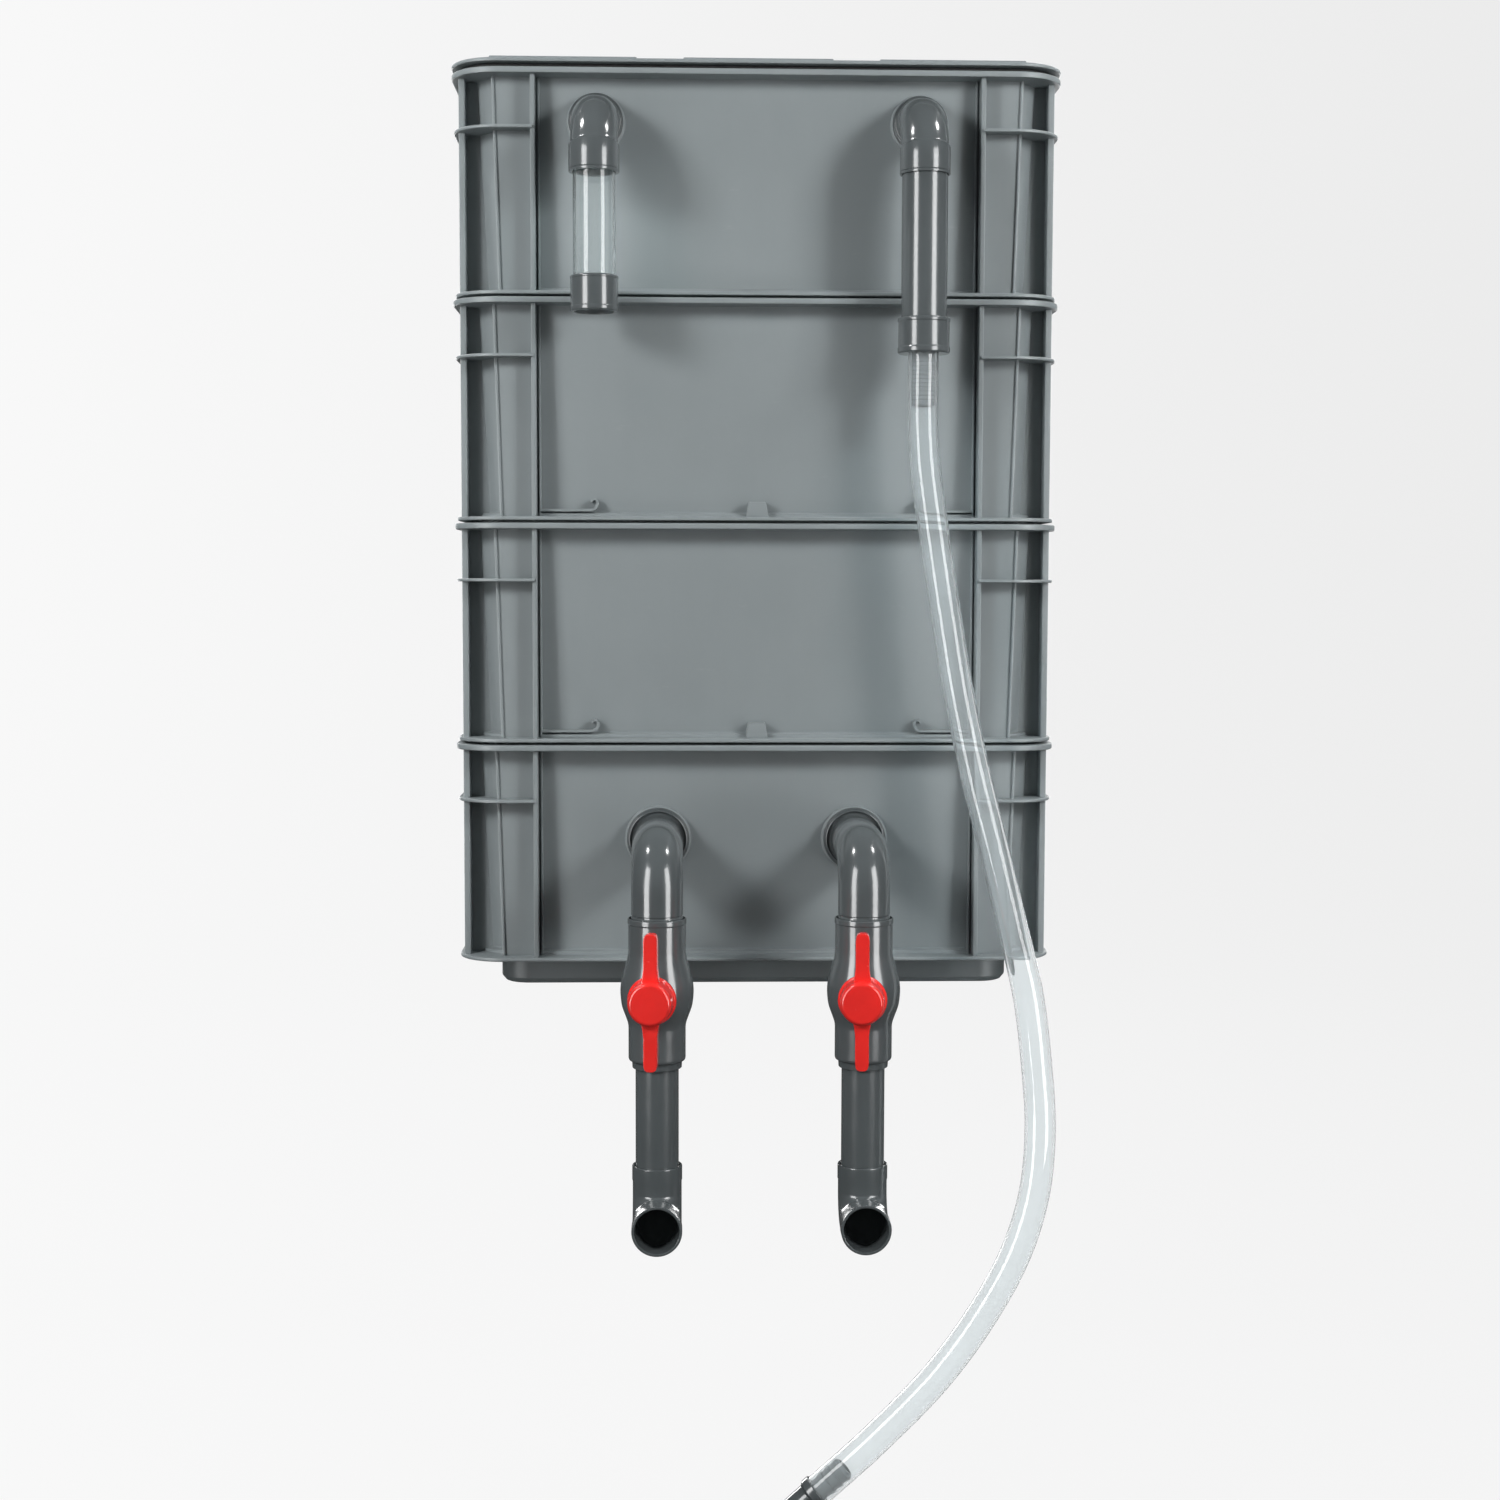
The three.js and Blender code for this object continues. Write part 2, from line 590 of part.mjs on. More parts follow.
function seat(sign) {
  const gapZ = (r) => Math.sqrt((BALL_R + 3 * GAP) ** 2 - r ** 2);
  const rise = [[18.1, gapZ(18.1)], [21.5, gapZ(21.5)], [24.6, 25.2], [18.1, 25.2]];
  const profile = [...rise, rise[0]].map(([r, h]) => [r, h * sign]);
  return turned(profile, 'up', 0, 0, VALVE_BASE + VALVE_Z);
}

function strainer(x) {
  const low = PAD_BACK - 14 - GAP - 34;
  const cup = turned([
    [0, low], [18.7, low], [18.7, PAD_BACK], [16.7, PAD_BACK], [16.7, low + 2.5], [0, low + 2.5],
  ], 'front', x, 0, RETURN_Z);
  const cuts = [];
  for (let k = 0; k < 3; k += 1) {
    const y = -(low + 8 + k * 9);
    cuts.push(box(x - 30, x + 30, y - 1.8, y + 1.8, RETURN_Z - 12, RETURN_Z + 12));
  }
  return carve(cup, cuts);
}

for (const [side, x] of [['left', -RETURN_X], ['right', RETURN_X]]) {
  const start = portFitting(`return_${side}`, x, RETURN_Z, 24.5, 19, 31, 21.1, 207);
  part(`return_${side}_strainer`, 'pvc', strainer(x));
  const fall = [[x, -start, RETURN_Z], [x, VALVE_Y, RETURN_Z], [x, VALVE_Y, RETURN_ELBOW_LOW]];
  part(`return_${side}_elbow`, 'pvc', sweptTube(route(fall, RETURN_BEND), 21.4, RETURN_ELBOW_R));
  part(`valve_${side}_body`, 'pvc', valveBody(x));
  part(`valve_${side}_ball`, 'ptfe', placed(x, ball()));
  part(`valve_${side}_seat_upper`, 'ptfe', seat(1).translate([x, VALVE_Y, 0]));
  part(`valve_${side}_seat_lower`, 'ptfe', seat(-1).translate([x, VALVE_Y, 0]));
  part(`valve_${side}_stem`, 'pvc', placed(x, stem()));
  part(`valve_${side}_handle`, 'red', placed(x, handle()));
  part(`return_${side}_pipe`, 'pvc', turned(
    ringProfile(RETURN_PIPE_R - 2.4, RETURN_PIPE_R, RETURN_PIPE_LOW, VALVE_BASE - 39 - GAP),
    'up', x, VALVE_Y, 0,
  ));
  const outlet = [[x, VALVE_Y, OUTLET_Z + 51], [x, VALVE_Y, OUTLET_Z], [x, OUTLET_Y, OUTLET_Z]];
  part(`discharge_${side}_elbow`, 'pvc', sweptTube(route(outlet, 25.4), RETURN_PIPE_R + 2 * GAP, 23.8));
}

// ---------------------------------------------------------------- filter media

function pad(name, finish, level, low, high, halfX, x = 0) {
  part(name, finish, plate(halfX, 149, 24, low, high).translate([x, 0, level * PITCH]));
}

const FLOOR = WALL_T + GAP;
pad('filter_wool', 'wool', 3, FLOOR, 45, 250);
pad('sponge_fine', 'sponge', 3, 45 + GAP, 85, 250);
pad('sponge_medium', 'sponge', 2, FLOOR, 52, 250);
pad('sponge_coarse', 'sponge', 2, 52 + GAP, 102, 250);
pad('bio_media_left', 'ceramic', 1, FLOOR, 120, 122, -126);
pad('bio_media_right', 'ceramic', 1, FLOOR, 120, 122, 126);

export default group;
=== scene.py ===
import math
import random

import bmesh
import bpy
from mathutils import Matrix, Vector


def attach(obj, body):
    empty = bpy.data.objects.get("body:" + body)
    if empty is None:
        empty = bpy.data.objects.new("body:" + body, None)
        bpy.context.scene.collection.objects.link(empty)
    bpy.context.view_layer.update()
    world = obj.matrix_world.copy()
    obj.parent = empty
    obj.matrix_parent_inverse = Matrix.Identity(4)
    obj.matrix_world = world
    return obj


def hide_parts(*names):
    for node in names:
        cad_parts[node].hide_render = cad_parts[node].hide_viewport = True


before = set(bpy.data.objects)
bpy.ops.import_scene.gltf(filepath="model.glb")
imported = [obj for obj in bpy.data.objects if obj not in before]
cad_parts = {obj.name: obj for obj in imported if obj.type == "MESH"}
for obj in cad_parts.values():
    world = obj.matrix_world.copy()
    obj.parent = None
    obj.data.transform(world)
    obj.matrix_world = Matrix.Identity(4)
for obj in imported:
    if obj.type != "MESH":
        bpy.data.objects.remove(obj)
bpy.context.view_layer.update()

scene = bpy.context.scene
scene.view_settings.view_transform = "Standard"
MM = 0.001
PITCH = 218.3  # height that each crate adds, mm
GAP = 0.3  # clearance between pieces that touch, mm

# ---------------------------------------------------------------- camera

SENSOR, FOCAL = 36, 52.32  # mm
YAW, TILT, ROLL = math.radians(1.89), math.radians(4.43), math.radians(0.14)
EYE = (-0.0779, -2.345, 0.4068)  # metres
forward = Vector((math.sin(YAW) * math.cos(TILT), math.cos(YAW) * math.cos(TILT), -math.sin(TILT)))
level = Vector((math.cos(YAW), -math.sin(YAW), 0))
upward = level.cross(forward)
right = level * math.cos(ROLL) + upward * math.sin(ROLL)
top = upward * math.cos(ROLL) - level * math.sin(ROLL)
lens = bpy.data.cameras.new("camera")
lens.lens = FOCAL
lens.sensor_width = SENSOR
lens.clip_end = 60
camera = bpy.data.objects.new("camera", lens)
turned = Matrix((right, top, -forward)).transposed()
camera.matrix_world = Matrix.Translation(EYE) @ turned.to_4x4()
scene.collection.objects.link(camera)
scene.camera = camera

# ---------------------------------------------------------------- mesh helpers (millimetres in)


def made(name, points, faces):
    """An object from points in millimetres, doubles merged and normals outwards."""
    mesh = bpy.data.meshes.new(name)
    mesh.from_pydata([Vector(p) * MM for p in points], [], faces)
    bm = bmesh.new()
    bm.from_mesh(mesh)
    bmesh.ops.remove_doubles(bm, verts=bm.verts, dist=1e-6)
    bmesh.ops.dissolve_degenerate(bm, edges=bm.edges, dist=1e-7)
    bmesh.ops.recalc_face_normals(bm, faces=bm.faces)
    bm.to_mesh(mesh)
    bm.free()
    thing = bpy.data.objects.new(name, mesh)
    scene.collection.objects.link(thing)
    return thing


def rounded(outline, radius, steps=3):
    """A closed outline with its corners rounded; a third value sets a corner's own radius.

    Corners on the axis stay.
    """
    result = []
    count = len(outline)
    for i, corner in enumerate(outline):
        here = Vector(corner[:2])
        before, after = Vector(outline[i - 1][:2]), Vector(outline[(i + 1) % count][:2])
        size = corner[2] if len(corner) > 2 else radius
        into, out = before - here, after - here
        if here.x == 0 or size == 0 or into.length < 1e-6 or out.length < 1e-6:
            result.append(tuple(here))
            continue
        cut = min(size, into.length * 0.45, out.length * 0.45)
        a, b = here + into.normalized() * cut, here + out.normalized() * cut
        for k in range(steps + 1):
            t = k / steps
            result.append(tuple(a * (1 - t) ** 2 + here * 2 * t * (1 - t) + b * t * t))
    return result


def grid(rings, closed_rings=True):
    """Faces between rings of equal count; the last ring joins the first."""
    count = len(rings[0])
    faces = []
    turns = len(rings) if closed_rings else len(rings) - 1
    for i in range(turns):
        j = (i + 1) % len(rings)
        for k in range(count):
            n = (k + 1) % count
            faces.append((i * count + k, i * count + n, j * count + n, j * count + k))
    return [p for ring in rings for p in ring], faces


UP = Matrix.Identity(3)
FRONT = Matrix(((1, 0, 0), (0, 0, -1), (0, 1, 0)))  # heights run towards -Y
ALONG_X = Matrix(((0, 0, 1), (0, 1, 0), (-1, 0, 0)))


def lathe(name, profile, place, axis=UP, sides=72, soft=0.6):
    """A closed (radius, height) profile turned about an axis through place."""
    outline = rounded(profile, soft)
    rings = []
    for r, h in outline:
        rings.append([
            Vector(place) + axis @ Vector((
                r * math.cos(2 * math.pi * k / sides), r * math.sin(2 * math.pi * k / sides), h
            ))
            for k in range(sides)
        ])
    return made(name, *grid(rings))


def ring_profile(inner, outer, low, high):
    """Profile of a plain ring or pipe for lathe."""
    return [(inner, low), (outer, low), (outer, high), (inner, high)]


def route(corners, radius, steps=20):
    """Points along straight runs with a bend at each inner corner."""
    spots = [Vector(c) for c in corners]
    points = [spots[0]]
    for before, here, after in zip(spots, spots[1:], spots[2:]):
        into, out = (here - before).normalized(), (after - here).normalized()
        angle = into.angle(out)
        inward = (out - into * out.dot(into)).normalized()
        start = here - into * radius * math.tan(angle / 2)
        for k in range(steps + 1):
            a = angle * k / steps
            points.append(start + into * radius * math.sin(a) + inward * radius * (1 - math.cos(a)))
    points.append(spots[-1])
    return points


def length_along(points):
    return sum((b - a).length for a, b in zip(points, points[1:]))


def tube(name, points, outer, inner, sides=64, lip=0.8):
    """A hollow tube along points. outer and inner are radii or lists of (distance, radius)."""
    lengths = [0.0]
    for a, b in zip(points, points[1:]):
        lengths.append(lengths[-1] + (b - a).length)
    total = lengths[-1]
    tangents = []
    for i in range(len(points)):
        a, b = points[max(i - 1, 0)], points[min(i + 1, len(points) - 1)]
        tangents.append((b - a).normalized())
    sideways = tangents[0].orthogonal().normalized()
    frames = []
    for i, tangent in enumerate(tangents):
        if i:
            sideways = tangents[i - 1].rotation_difference(tangent) @ sideways
        sideways = (sideways - tangent * sideways.dot(tangent)).normalized()
        frames.append((sideways.copy(), tangent.cross(sideways)))

    def ring(distance, radius):
        i = 0
        while i < len(lengths) - 2 and lengths[i + 1] < distance - 1e-9:
            i += 1
        share = (distance - lengths[i]) / (lengths[i + 1] - lengths[i])
        centre = points[i].lerp(points[i + 1], share)
        a = frames[i][0].lerp(frames[i + 1][0], share).normalized()
        b = frames[i][1].lerp(frames[i + 1][1], share).normalized()
        return [
            centre + (a * math.cos(2 * math.pi * k / sides) + b * math.sin(2 * math.pi * k / sides)) * radius
            for k in range(sides)
        ]

    def wall(profile, sign):
        if not isinstance(profile, list):
            profile = [(0, profile), (total, profile)]
        first, last = profile[0], profile[-1]
        steps = [(0, first[1] - sign * lip), (lip * 0.3, first[1] - sign * lip * 0.3), (lip, first[1])]
        steps += [p for p in profile if lip < p[0] < total - lip]
        steps += [
            (total - lip, last[1]), (total - lip * 0.3, last[1] - sign * lip * 0.3),
            (total, last[1] - sign * lip),
        ]
        filled = []
        for (s0, r0), (s1, r1) in zip(steps, steps[1:]):
            filled.append((s0, r0))
            for s in lengths[1:-1]:
                if s0 + 0.2 < s < s1 - 0.2:
                    filled.append((s, r0 + (r1 - r0) * (s - s0) / (s1 - s0)))
        filled.append(steps[-1])
        return filled

    rings = [ring(s, r) for s, r in wall(outer, 1)]
    rings += [ring(s, r) for s, r in reversed(wall(inner, -1))]
    return made(name, *grid(rings))


def prism(name, outline, low, high, axis=UP, place=(0, 0, 0), bevel=0.6, rounding=0.0):
    """A closed outline extruded from low to high, its edges bevelled."""
    flat = rounded(outline, rounding, 6) if rounding else [tuple(p[:2]) for p in outline]
    count = len(flat)
    points = [Vector(place) + axis @ Vector((x, y, h)) for h in (low, high) for x, y in flat]
    faces = [tuple(range(count))[::-1], tuple(range(count, 2 * count))]
    faces += [(k, (k + 1) % count, count + (k + 1) % count, count + k) for k in range(count)]
    thing = made(name, points, faces)
    if bevel:
        bm = bmesh.new()
        bm.from_mesh(thing.data)
        sharp = [e for e in bm.edges if e.calc_face_angle(0) > math.radians(28)]
        bmesh.ops.bevel(
            bm, geom=sharp, offset=bevel * MM, segments=2, profile=0.6, affect="EDGES",
            clamp_overlap=True,
        )
        bm.to_mesh(thing.data)
        bm.free()
    return thing


def block(name, x0, x1, y0, y1, z0, z1, bevel):
    """A box with bevelled edges."""
    return prism(name, [(x0, y0), (x1, y0), (x1, y1), (x0, y1)], z0, z1, bevel=bevel)


def rectangle(half_x, half_y, radius, z, steps=12):
    """Points of a rounded rectangle."""
    points = []
    for turn, (sx, sy) in enumerate([(1, 1), (-1, 1), (-1, -1), (1, -1)]):
        for k in range(steps + 1):
            a = math.pi / 2 * (turn + k / steps)
            points.append((
                sx * (half_x - radius) + radius * math.cos(a),
                sy * (half_y - radius) + radius * math.sin(a), z,
            ))
    return points


def shell(name, outline):
    """A closed solid through rounded rectangles, each (half width, half depth, radius, height)."""
    rings = [rectangle(*o) for o in outline]
    points, faces = grid(rings, closed_rings=False)
    count = len(rings[0])
    faces += [tuple(range(count))[::-1], tuple(range(len(points) - count, len(points)))]
    return made(name, points, faces)


def combine(thing, others, operation="UNION"):
    """Applies a boolean with each of the others and removes them."""
    for other in others:
        step = thing.modifiers.new("step", "BOOLEAN")
        step.operation = operation
        step.solver = "MANIFOLD"
        step.object = other
        bpy.context.view_layer.update()
        result = bpy.data.meshes.new_from_object(
            thing.evaluated_get(bpy.context.evaluated_depsgraph_get())
        )
        thing.modifiers.clear()
        thing.data = result
        bpy.data.objects.remove(other)
    return thing


def finished(thing, name, body, material, stands_for, angle=34):
    """Names, smooths and paints a piece, ties it to its body and hides the CAD nodes it stands for."""
    thing.name = name
    thing.data.name = name
    bm = bmesh.new()
    bm.from_mesh(thing.data)
    for face in bm.faces:
        face.smooth = True
    for edge in bm.edges:
        edge.smooth = edge.calc_face_angle(0) < math.radians(angle)
    bm.to_mesh(thing.data)
    bm.free()
    even = thing.modifiers.new("even", "WEIGHTED_NORMAL")
    even.keep_sharp = True
    thing.data.materials.clear()
    thing.data.materials.append(material)
    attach(thing, body)
    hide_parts(*stands_for)


# ---------------------------------------------------------------- materials


class Paint:
    """Small helper for node materials."""

    def __init__(self, name, roughness, **sockets):
        self.material = bpy.data.materials.new(name)
        self.material.use_nodes = True
        self.tree = self.material.node_tree
        self.shader = self.tree.nodes["Principled BSDF"]
        self.shader.inputs["Roughness"].default_value = roughness
        for socket, value in sockets.items():
            self.shader.inputs[socket.replace("_", " ")].default_value = value
        self.place = self.node("ShaderNodeTexCoord").outputs["Object"]

    def node(self, kind, **values):
        made_node = self.tree.nodes.new(kind)
        for key, value in values.items():
            if key in made_node.inputs:
                made_node.inputs[key].default_value = value
            else:
                setattr(made_node, key, value)
        return made_node

    def link(self, a, b):
        self.tree.links.new(a, b)

    def stretch(self, scale):
        """The object's own coordinates, scaled unevenly."""
        mapping = self.node("ShaderNodeMapping")
        mapping.inputs["Scale"].default_value = scale
        self.link(self.place, mapping.inputs["Vector"])
        return mapping.outputs["Vector"]

    def noise(self, scale, detail=3.0, rough=0.55, at=None, distort=0.0):
        noise = self.node("ShaderNodeTexNoise", Scale=scale, Detail=detail, Distortion=distort)
        noise.inputs["Roughness"].default_value = rough
        self.link(at or self.place, noise.inputs["Vector"])
        return noise.outputs["Fac"]

    def cells(self, scale):
        cells = self.node("ShaderNodeTexVoronoi", Scale=scale)
        self.link(self.place, cells.inputs["Vector"])
        return cells.outputs["Distance"]

    def spread(self, value, low, high, start=0.3, end=0.7):
        """Maps value from start..end to low..high."""
        reach = self.node("ShaderNodeMapRange")
        for key, number in (("From Min", start), ("From Max", end), ("To Min", low), ("To Max", high)):
            reach.inputs[key].default_value = number
        self.link(value, reach.inputs["Value"])
        return reach.outputs["Result"]

    def ramp(self, value, *stops):
        ramp = self.node("ShaderNodeValToRGB")
        while len(ramp.color_ramp.elements) < len(stops):
            ramp.color_ramp.elements.new(0.5)
        for element, (position, colour) in zip(ramp.color_ramp.elements, stops):
            element.position = position
            element.color = (*colour, 1)
        self.link(value, ramp.inputs["Fac"])
        return ramp.outputs["Color"]

    def mix(self, factor, a, b):
        """Colour a where factor is 0, colour b where it is 1."""
        mix = self.node("ShaderNodeMix", data_type="RGBA")
        for socket, value in ((mix.inputs[0], factor), (mix.inputs[6], a), (mix.inputs[7], b)):
            if isinstance(value, bpy.types.NodeSocket):
                self.link(value, socket)
            else:
                socket.default_value = value if isinstance(value, float) else (*value, 1)
        return mix.outputs[2]

    def bump(self, height, distance, strength, under=None):
        bump = self.node("ShaderNodeBump", Strength=strength, Distance=distance)
        self.link(height, bump.inputs["Height"])
        if under:
            self.link(under, bump.inputs["Normal"])
        return bump.outputs["Normal"]

    def wear(self, colour, roughness, normal):
        """Links what is given to the shader and returns the material."""
        for value, socket in ((colour, "Base Color"), (roughness, "Roughness"), (normal, "Normal")):
            if value is not None:
                self.link(value, self.shader.inputs[socket])
        return self.material


def tone(colour, factor):
    """The colour made darker or lighter."""
    return tuple(c * factor for c in colour)


def crate_plastic():
    """Satin moulded polypropylene: fine grain, faint flow marks and rubbed patches."""
    paint = Paint("crate plastic", 0.42, Specular_IOR_Level=0.5)
    base = (0.226, 0.255, 0.263)
    clouds = paint.ramp(paint.noise(5, 4), (0.3, tone(base, 0.95)), (0.7, tone(base, 1.04)))
    flow = paint.noise(3, 3, at=paint.stretch((14, 14, 1.5)), distort=0.6)
    colour = paint.mix(paint.spread(flow, 0.0, 0.10), clouds, tone(base, 0.82))
    scuffs = paint.noise(9, 8, 0.75, at=paint.stretch((3, 3, 14)))
    colour = paint.mix(paint.spread(scuffs, 0.0, 0.16, 0.62, 0.78), colour, (0.42, 0.45, 0.46))
    grain = paint.bump(paint.noise(1500, 2), 0.00006, 0.55)
    wave = paint.bump(paint.noise(7, 1), 0.0012, 0.16, grain)
    return paint.wear(colour, paint.spread(paint.noise(38, 6, 0.7), 0.40, 0.56), wave)


def pvc_grey():
    """Glossy pipe plastic with fine drawing lines and small scratches."""
    paint = Paint("grey pvc", 0.2, Specular_IOR_Level=0.5, Coat_Weight=0.5, Coat_Roughness=0.07)
    base = (0.088, 0.1, 0.104)
    colour = paint.ramp(paint.noise(11, 5), (0.3, tone(base, 0.93)), (0.7, tone(base, 1.08)))
    scratches = paint.noise(30, 9, 0.8, at=paint.stretch((2, 2, 9)))
    colour = paint.mix(paint.spread(scratches, 0.0, 0.15, 0.64, 0.78), colour, (0.25, 0.27, 0.28))
    lines = paint.bump(paint.noise(900, 2, at=paint.stretch((1, 1, 0.02))), 0.00003, 0.35)
    swell = paint.bump(paint.noise(18, 1), 0.0003, 0.03, lines)
    return paint.wear(colour, paint.spread(paint.noise(60, 6, 0.7), 0.15, 0.25), swell)


def handle_red():
    """Glossy red moulding with a faint orange peel."""
    paint = Paint("red handle", 0.2, Specular_IOR_Level=0.55, Coat_Weight=0.4, Coat_Roughness=0.06)
    base = (0.92, 0.028, 0.023)
    colour = paint.ramp(paint.noise(34, 4), (0.3, tone(base, 0.93)), (0.7, tone(base, 1.04)))
    rubbed = paint.noise(120, 8, 0.8)
    colour = paint.mix(paint.spread(rubbed, 0.0, 0.25, 0.66, 0.8), colour, (0.62, 0.09, 0.08))
    peel = paint.bump(paint.noise(420, 2), 0.00005, 0.35)
    return paint.wear(colour, paint.spread(paint.noise(90, 5), 0.16, 0.28), peel)


def seal_rubber():
    """Matt black rubber with a fine sandy skin."""
    paint = Paint("seal rubber", 0.75, Specular_IOR_Level=0.3)
    colour = paint.ramp(paint.noise(90, 6), (0.3, (0.016, 0.017, 0.018)), (0.72, (0.035, 0.036, 0.037)))
    skin = paint.bump(paint.noise(2200, 3), 0.00008, 0.5)
    return paint.wear(colour, paint.spread(paint.noise(160, 5), 0.66, 0.86), skin)


def clear(name, haze, roughness, tint, lets_through):
    """Clear plastic: lamps shine through it, with a thin haze of milky plastic on top."""
    paint = Paint(name, roughness, IOR=1.49, Transmission_Weight=1.0, Specular_IOR_Level=0.5)
    paint.shader.inputs["Base Color"].default_value = (*tint, 1)
    drawn = paint.bump(paint.noise(500, 2, at=paint.stretch((1, 1, 0.03))), 0.00004, 0.15)
    swell = paint.bump(paint.noise(16, 2), 0.0006, 0.012, drawn)
    paint.link(swell, paint.shader.inputs["Normal"])
    uneven = paint.spread(paint.noise(45, 5), roughness * 0.7, roughness * 1.6)
    paint.link(uneven, paint.shader.inputs["Roughness"])
    milk = paint.node("ShaderNodeBsdfPrincipled", Roughness=0.35)
    milk.inputs["Base Color"].default_value = (0.86, 0.9, 0.91, 1)
    milky = paint.node("ShaderNodeMixShader")
    clouds = paint.spread(paint.noise(20, 4), haze * 0.75, haze * 1.25)
    paint.link(clouds, milky.inputs[0])
    paint.link(paint.shader.outputs[0], milky.inputs[1])
    paint.link(milk.outputs[0], milky.inputs[2])
    ghost = paint.node("ShaderNodeBsdfTransparent")
    ghost.inputs["Color"].default_value = (*lets_through, 1)
    final = paint.node("ShaderNodeMixShader")
    paint.link(paint.node("ShaderNodeLightPath").outputs["Is Shadow Ray"], final.inputs[0])
    paint.link(milky.outputs[0], final.inputs[1])
    paint.link(ghost.outputs[0], final.inputs[2])
    paint.link(final.outputs[0], paint.tree.nodes["Material Output"].inputs["Surface"])
    return paint.material


def white_ptfe():
    """Waxy white plastic with faint turning marks."""
    paint = Paint("white ptfe", 0.35)
    colour = paint.ramp(paint.noise(80, 5), (0.3, (0.72, 0.72, 0.69)), (0.7, (0.86, 0.86, 0.83)))
    turned_marks = paint.bump(paint.noise(700, 2, at=paint.stretch((0.1, 0.1, 1))), 0.00004, 0.4)
    return paint.wear(colour, paint.spread(paint.noise(140, 4), 0.28, 0.42), turned_marks)


def filter_fibre():
    """Loose white wool: long fibres in all directions with soft clumps."""
    paint = Paint("filter wool", 0.95, Sheen_Weight=0.5, Sheen_Roughness=0.6)
    clumps = paint.noise(45, 6, 0.7)
    colour = paint.ramp(clumps, (0.3, (0.66, 0.67, 0.63)), (0.7, (0.86, 0.86, 0.84)))
    strands = paint.noise(260, 9, 0.85, at=paint.stretch((1, 0.16, 1)), distort=2.2)
    crossing = paint.noise(300, 9, 0.85, at=paint.stretch((0.15, 1, 1)), distort=2.0)
    under = paint.bump(strands, 0.0016, 0.7)
    return paint.wear(colour, None, paint.bump(crossing, 0.0013, 0.7, under))


def open_foam(name, base, pore):
    """Open cell foam: pores painted dark as shade in their hollows, webs painted lighter as lit strands."""
    paint = Paint(name, 0.9, Sheen_Weight=0.2)
    pores = paint.cells(pore)
    small = paint.cells(pore * 2.3)
    # painted shade: colour darkens towards the middle of each pore, where its hollow lies in shade
    colour = paint.ramp(pores, (0.1, tone(base, 0.35)), (0.5, tone(base, 1.15)))
    # painted highlight: lighter lines along the webs between the small cells
    colour = paint.mix(paint.spread(small, 0.0, 0.6, 0.2, 0.6), colour, tone(base, 1.3))
    under = paint.bump(pores, 0.0018, 0.9)
    return paint.wear(colour, None, paint.bump(small, 0.0008, 0.7, under))


def ceramic():
    """Porous fired ceramic with uneven tan patches and pits, the pits painted dark as shade."""
    paint = Paint("ceramic", 0.88)
    patches = paint.noise(70, 6, 0.7)
    colour = paint.ramp(
        patches, (0.28, (0.45, 0.37, 0.28)), (0.55, (0.66, 0.57, 0.46)), (0.75, (0.78, 0.71, 0.6)),
    )
    pits = paint.cells(900)
    # painted shade: colour darkens in the middle of each small pit, where shade falls in the hollow
    colour = paint.mix(paint.spread(pits, 0.35, 0.0, 0.05, 0.35), colour, (0.28, 0.22, 0.17))
    return paint.wear(colour, None, paint.bump(pits, 0.0005, 0.8))


CRATE = crate_plastic()
PVC = pvc_grey()
RED = handle_red()
RUBBER = seal_rubber()
ACRYLIC = clear("clear acrylic", 0.006, 0.015, (0.96, 0.985, 0.985), (0.93, 0.95, 0.95))
VINYL = clear("clear vinyl", 0.055, 0.03, (0.88, 0.905, 0.912), (0.84, 0.87, 0.88))
PTFE = white_ptfe()
WOOL = filter_fibre()
SPONGE = open_foam("blue sponge", (0.06, 0.1, 0.17), 420)
COARSE = open_foam("coarse sponge", (0.05, 0.085, 0.15), 260)
CERAMIC = ceramic()

# ---------------------------------------------------------------- inlet hose

PORT_X, DROP_Y, PORT_Z = 158, -232, 851.5
RETURN_X, RETURN_Z = 98, 150.4
HOSE_R, HOSE_BORE = 15.0, 12.5  # radii
hose_knots = [Vector(p) for p in [
    (158, -232, 624.7), (158, -232, 560), (161, -232, 515), (170, -233, 450), (182, -235, 372),
    (194, -238, 300), (210, -242, 224), (229, -247, 147), (247, -252, 72), (263, -257, 3),
    (271, -263, -66), (274, -269, -125), (268, -275, -186), (249, -281, -245), (215, -287, -305),
    (172, -292, -362), (112, -297, -422), (58, -300, -470),
]]


def centripetal(knots, steps):
    """Points on a centripetal Catmull-Rom curve through the knots."""
    ends = [knots[0] * 2 - knots[1], *knots, knots[-1] * 2 - knots[-2]]
    points = []
    for a, b, c, d in zip(ends, ends[1:], ends[2:], ends[3:]):
        t1 = (b - a).length ** 0.5
        t2 = t1 + (c - b).length ** 0.5
        t3 = t2 + (d - c).length ** 0.5
        for k in range(steps):
            t = t1 + (t2 - t1) * k / steps
            p = a * ((t1 - t) / t1) + b * (t / t1)
            q = b * ((t2 - t) / (t2 - t1)) + c * ((t - t1) / (t2 - t1))
            r = c * ((t3 - t) / (t3 - t2)) + d * ((t - t2) / (t3 - t2))
            u = p * ((t2 - t) / t2) + q * (t / t2)
            v = q * ((t3 - t) / (t3 - t1)) + r * ((t - t1) / (t3 - t1))
            points.append(u * ((t2 - t) / (t2 - t1)) + v * ((t - t1) / (t2 - t1)))
    return points + [knots[-1]]


